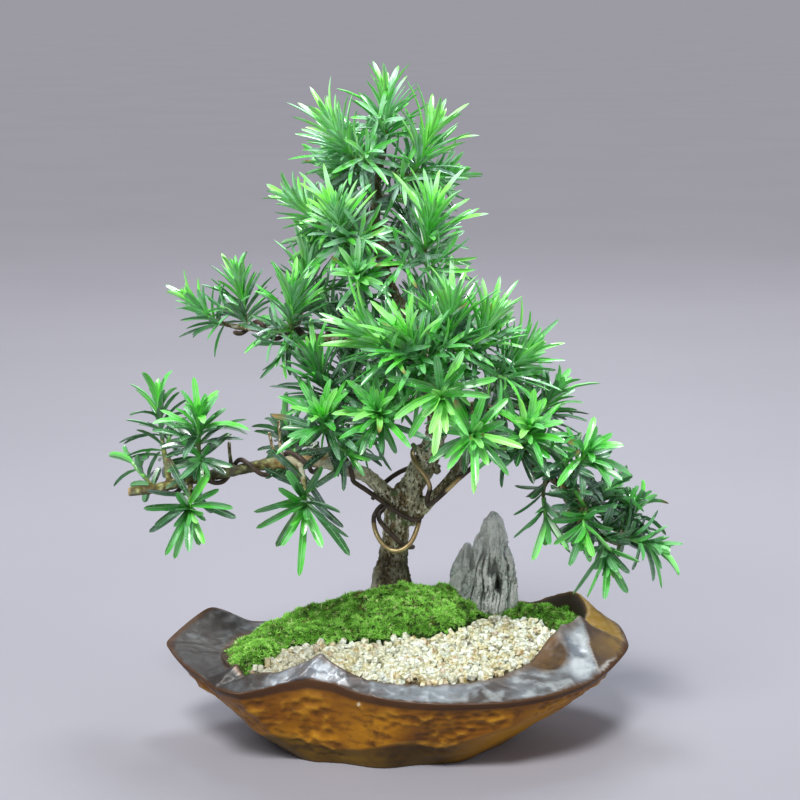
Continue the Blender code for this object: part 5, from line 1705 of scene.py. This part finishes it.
def paint(spec, ageAndLight, draw):
    spec["ageAndLight"] = min(1, max(0, ageAndLight + draw.uniform(-0.1, 0.1)))
    spec["tone"] = draw.random()
    spec["twist"] = draw.uniform(-0.35, 0.35)
    spec["dry"] = 1.0 if draw.random() < leaf["dryShare"] else 0.0


def sideWays(along, draw):
    # a direction that leaves a twig at the side
    side = along.orthogonal().normalized()
    side.rotate(Matrix.Rotation(draw.uniform(0, math.tau), 3, along))
    angle = math.radians(draw.uniform(45, 75))
    return (along * math.cos(angle) + side * math.sin(angle) + Vector((0, 0, 0.25))).normalized()


def onTwig(rows, share):
    # a place on a twig, and the way the twig runs there
    place = share * (len(rows) - 1)
    number = min(int(place), len(rows) - 2)
    here, there = Vector(rows[number][:3]), Vector(rows[number + 1][:3])
    return here.lerp(there, place - number), (there - here).normalized()


def twigLeaves(rows, count, length, width, ageAndLight, draw):
    # old leaves down the twig below the whorl
    made = []
    for number in range(count):
        foot, along = onTwig(rows, mixed(0.12, 0.97, (number + draw.uniform(0.2, 0.8)) / count))
        for _ in range(6):
            turn = draw.uniform(0, math.tau)
            opening, size = draw.uniform(45, 85), length * draw.uniform(0.65, 0.95)
            option = freeLeaf(foot, along, 0, opening, turn, size, draw.uniform(0, 0.4))
            if not blocked(option["line"]):
                option["width"] = width * draw.uniform(0.8, 1.0)
                paint(option, ageAndLight + 0.38, draw)
                made.append(option)
                break
    return made


def sideWhorl(foot, axis, firstTurn, length, width, ageAndLight, draw):
    leaves, scale = [], leaf["sideScale"]
    for number in range(leaf["sideLeaves"]):
        rank = (number + 0.5) / leaf["sideLeaves"]
        turn = math.radians(leaf["golden"]) * number + firstTurn
        size = length * scale * mixed(1, 0.65, rank**2) * draw.uniform(0.85, 1.1)
        opening, droop = mixed(92, 18, rank**0.8) + draw.uniform(-8, 8), draw.uniform(0, 0.3)
        option = freeLeaf(foot, axis, mixed(0, scale, rank), opening, turn, size, droop)
        if not blocked(option["line"]):
            option["width"] = width * mixed(0.9, 0.66, rank**2)
            paint(option, mixed(ageAndLight + 0.42, ageAndLight, rank), draw)
            leaves.append(option)
    return leaves


def sideWhorls(rows, count, length, width, ageAndLight, draw):
    # small whorls on stalks that leave the twig, each where most of its leaves have room
    stems, made = [], []
    for number in range(count):
        for _ in range(8):
            start, along = onTwig(rows, draw.uniform(0.3, 0.85))
            axis = sideWays(along, draw)
            foot = start + axis * draw.uniform(3, 9)
            end = foot + axis * shoot["length"] * leaf["sideScale"]
            if blocked((start, foot, end + axis * length * 0.4)):
                continue
            leaves = sideWhorl(foot, axis, number, length, width, ageAndLight, draw)
            if len(leaves) > leaf["sideLeaves"] * 0.6:
                stems.append((start, foot, axis))
                made += leaves
                break
    return stems, made


def shootStem(name, start, foot, axis, scale=1):
    # the green stem with its pointed bud, on a stalk if it starts away from its foot
    side = axis.orthogonal().normalized()
    other = axis.cross(side)
    length, radius = shoot["length"] * scale, shoot["radius"] * scale
    stations = [(foot + axis * length * along, wide) for along, wide in shoot["stations"]]
    if (foot - start).length > 1:
        stations.insert(0, (start, shoot["stations"][0][1]))
    turns = [math.tau * number / 8 for number in range(8)]
    rings = [[middle + (side * math.cos(turn) + other * math.sin(turn)) * radius * wide for turn in turns]
             for middle, wide in stations]
    stem = extrudeRings(name, rings, tip=True)
    for key, value in (("ageAndLight", 0.35), ("tone", 0.5), ("dry", 0.0), ("under", 0.0)):
        floatAttribute(stem, key, [value] * len(stem.data.vertices))
    smoothShading(stem)
    return stem


def shootAgeAndLight(place):
    # leaves are young and brightest on top and old low down, with painted light on top and in front, painted
    # shade inside the crown, and somewhat darker at the left and right
    x, y, z = place
    high = smoothStep(z, 130, 320)
    inside = smoothStep(math.hypot(x - 10, y - 38), 60, 15) * smoothStep(z, 330, 270)
    left = smoothStep(x, 10, -50) * smoothStep(z, 290, 230) * smoothStep(x, -100, -75)
    right = smoothStep(x, 60, 100)
    return 0.49 - 0.47 * high + 0.25 * inside + 0.12 * left + 0.06 * right - 0.12 * smoothStep(y, 20, -20)


def shade(place):
    # the leaves in the heart of the crown and behind it are painted dark as shade
    x, y, z = place
    heart = smoothStep(math.hypot(x + 2, y - 42), 36, 14) * smoothStep(z, 195, 225) * smoothStep(z, 335, 300)
    return 0.5 * heart + 0.16 * smoothStep(y, 35, 65)


def sidesOf(name):
    other = [count for count, names in leaf["otherWhorls"].items() if name in names]
    return other[0] if other else leaf["sideWhorls"]


def makeShoot(name, number):
    limb, place, way, extra = shoots[name]
    draw = random.Random(9000 + number)
    axis, foot = unit(way), shootFoot(place, way)
    ageAndLight = shootAgeAndLight(place)
    specs = readBlades(name, foot, axis)
    high = smoothStep(place[2], 150, 215) * smoothStep(axis.z, 0, 0.5)
    length = sum(reachOf(spec).length for spec in specs) / len(specs)
    width, stretch = mixed(*leaf["width"], high), mixed(*leaf["stretch"], high)
    for spec in specs:
        resize(spec, min(1, leaf["longest"] * length / reachOf(spec).length) * stretch)
        closeUp(spec, axis, mixed(*leaf["lift"], high))
        loosen(spec, mixed(*leaf["sag"], high), draw)
        paint(spec, ageAndLight + 0.25 * (0.4 - reachOf(spec).normalized().dot(axis)), draw)
        spec["width"] *= mixed(*leaf["narrow"], high)
    more = round(extra * mixed(*leaf["fill"], high))
    length *= 0.96 * stretch
    widest, hang = mixed(*leaf["widest"], high), mixed(*leaf["hang"], high)
    specs += growMore(foot, axis, more, length, width, widest, hang, specs, draw, ageAndLight)
    rows = twigRows(limb, place, way)
    old = leaf["onBare"] if extra <= 4 else leaf["onTrunk"] if limb == "trunk" else leaf["onTwig"]
    specs += twigLeaves(rows, old, length, width, ageAndLight, draw)
    stems, sides = sideWhorls(rows, sidesOf(name), length, width, ageAndLight, draw)
    specs += sides
    for spec in specs:
        spec["ageAndLight"] = min(1, spec["ageAndLight"] + shade(spec["line"][1]))
        spec["point"] = mixed(*leaf["point"], high)
        base, _, tip = spec["line"]
        over = tip.z - boxHigh.z - leaf["overTop"]
        if over > 0:
            resize(spec, 1 - over / (tip.z - base.z))
    pieces = [shootStem(name, foot, foot, axis)]
    pieces += [shootStem(name, *stem, leaf["sideScale"]) for stem in stems]
    pieces += [bentBlade(spec) for spec in specs]
    return joinAll(pieces, name), len(specs)


def leafFinish():
    finish = Finish("pineLeaf", Specular_IOR_Level=0.75, Coat_Weight=0.5, Coat_Roughness=0.18)
    ageAndLight, tone, under, dry = (finish.attribute(key) for key in ("ageAndLight", "tone", "under", "dry"))
    ageAndLightTone = finish.math("ADD", ageAndLight, finish.spread(tone, 0, 1, -0.2, 0.2))
    colour = finish.ramp(ageAndLightTone, leaf["ages"])
    _, _, z = finish.apart(finish.place)
    # a painted sheen, stronger higher up the crown
    paintedSheen = finish.blend(0.68, colour, leaf["paintedSheen"])
    paintedSheen = finish.blend(finish.spread(z, 200 * mm, 320 * mm, 0.3, 1), colour, paintedSheen)
    colour = finish.patches(colour, paintedSheen, 90, 0.42, 0.62)
    uv = finish.tree.nodes.new("ShaderNodeUVMap")
    uv.uv_map = "UVMap"
    across, along, _ = finish.apart(uv.outputs["UV"])
    off = finish.awayFrom(across, 0.5)
    # a paler midrib, partly painted highlight
    ribHighlight = finish.spread(off, 0.07, 0.02, 0, 0.6)
    colour = finish.blend(ribHighlight, colour, finish.blend(0.6, colour, leaf["ribHighlight"]))
    # painted shade along the fold either side of the midrib
    grooveShade = finish.times(finish.spread(off, 0.06, 0.10), finish.spread(off, 0.24, 0.10))
    colour = finish.blend(finish.times(grooveShade, 0.35), colour, leaf["grooveShade"])
    colour = finish.fade(colour, leaf["base"], along, 0.22, 0.0, 0.45)
    # dew drops shown as painted glints
    dewGlintMask = finish.times(finish.mask(1000, 0.67, 0.71, 1), finish.spread(tone, 0.45, 0.65, 0, 0.7))
    colour = finish.blend(dewGlintMask, colour, leaf["dewGlint"])
    colour = finish.blend(finish.times(under, 0.6), colour, leaf["underside"])
    tip = finish.times(dry, finish.spread(along, 0.72, 0.95))
    finish.colour(finish.blend(tip, colour, leaf["dryTip"]))
    finish.rough(finish.spread(ageAndLightTone, 0, 1, 0.36, 0.24))
    finish.skin(500, 0.4, 0.3, 0.15)
    return finish.material


green = leafFinish()
leafCount = 0
for number, name in enumerate(shoots):
    whorl, count = makeShoot(name, number)
    leafCount += count
    handOver(whorl, "leaves_" + name, green, "leaf", name)
bpy.data.objects.remove(blade)
print("shoots made:", leafCount, "leaves")


# Studio: a pale floor, soft lights and the camera

studio = {
    "floorSize": 300, "floorColour": (0.29, 0.284, 0.315), "sky": (0.37, 0.36, 0.405), "skyStrength": 0.86,
    "sun": {"strength": 3.0, "spread": 16, "turn": (34, 10, -28)},
    # place and size in metres, power, colour
    "lights": [
        ((0.12, 0.5, 1.4), 0.45, 12, (0.86, 0.94, 1.0)),
        ((-0.8, -1.2, 1.5), 0.8, 14, (1.0, 0.98, 0.95)),
        ((1.8, -1.1, 1.2), 1.2, 8, (0.94, 0.97, 1.0)),
        ((0.3, 1.6, 1.2), 1.2, 6, (0.92, 0.96, 1.0)),
    ],
    "aim": (0, 0.02, 0.15),
    "camera": (0.007, -1.17795, 0.42297), "tilt": 79, "lens": 98.19,
}


def floorFinish():
    finish = Finish("paleFloor", Roughness=0.85)
    tint = studio["floorColour"]
    darker = tuple(part * 0.975 for part in tint)
    finish.colour(finish.patches(tint, darker, 3, 0.4, 0.6, 2))
    return finish.material


bpy.ops.object.select_all(action="DESELECT")
bpy.ops.mesh.primitive_plane_add(size=studio["floorSize"], location=(0, 0, -0.0002))
floor = bpy.context.object
floor.name = "floor"
floor.data.materials.append(floorFinish())

world = bpy.data.worlds.new("softSky")
bpy.context.scene.world = world
world.use_nodes = True
sky = world.node_tree.nodes["Background"]
sky.inputs["Color"].default_value = (*studio["sky"], 1)
sky.inputs["Strength"].default_value = studio["skyStrength"]

bpy.ops.object.light_add(type="SUN", rotation=[math.radians(turn) for turn in studio["sun"]["turn"]])
sun = bpy.context.object.data
sun.energy, sun.angle = studio["sun"]["strength"], math.radians(studio["sun"]["spread"])

for place, size, power, colour in studio["lights"]:
    bpy.ops.object.light_add(type="AREA", location=place)
    lamp = bpy.context.object
    lamp.data.shape = "DISK"
    lamp.data.size, lamp.data.energy, lamp.data.color = size, power, colour
    lamp.rotation_euler = (Vector(studio["aim"]) - Vector(place)).to_track_quat("-Z", "Y").to_euler()

bpy.ops.object.camera_add(location=studio["camera"], rotation=(math.radians(studio["tilt"]), 0, 0))
view = bpy.context.object
view.data.lens, view.data.sensor_width = studio["lens"], 36
bpy.context.scene.camera = view
bpy.context.scene.view_settings.view_transform = "Standard"
print("studio set")
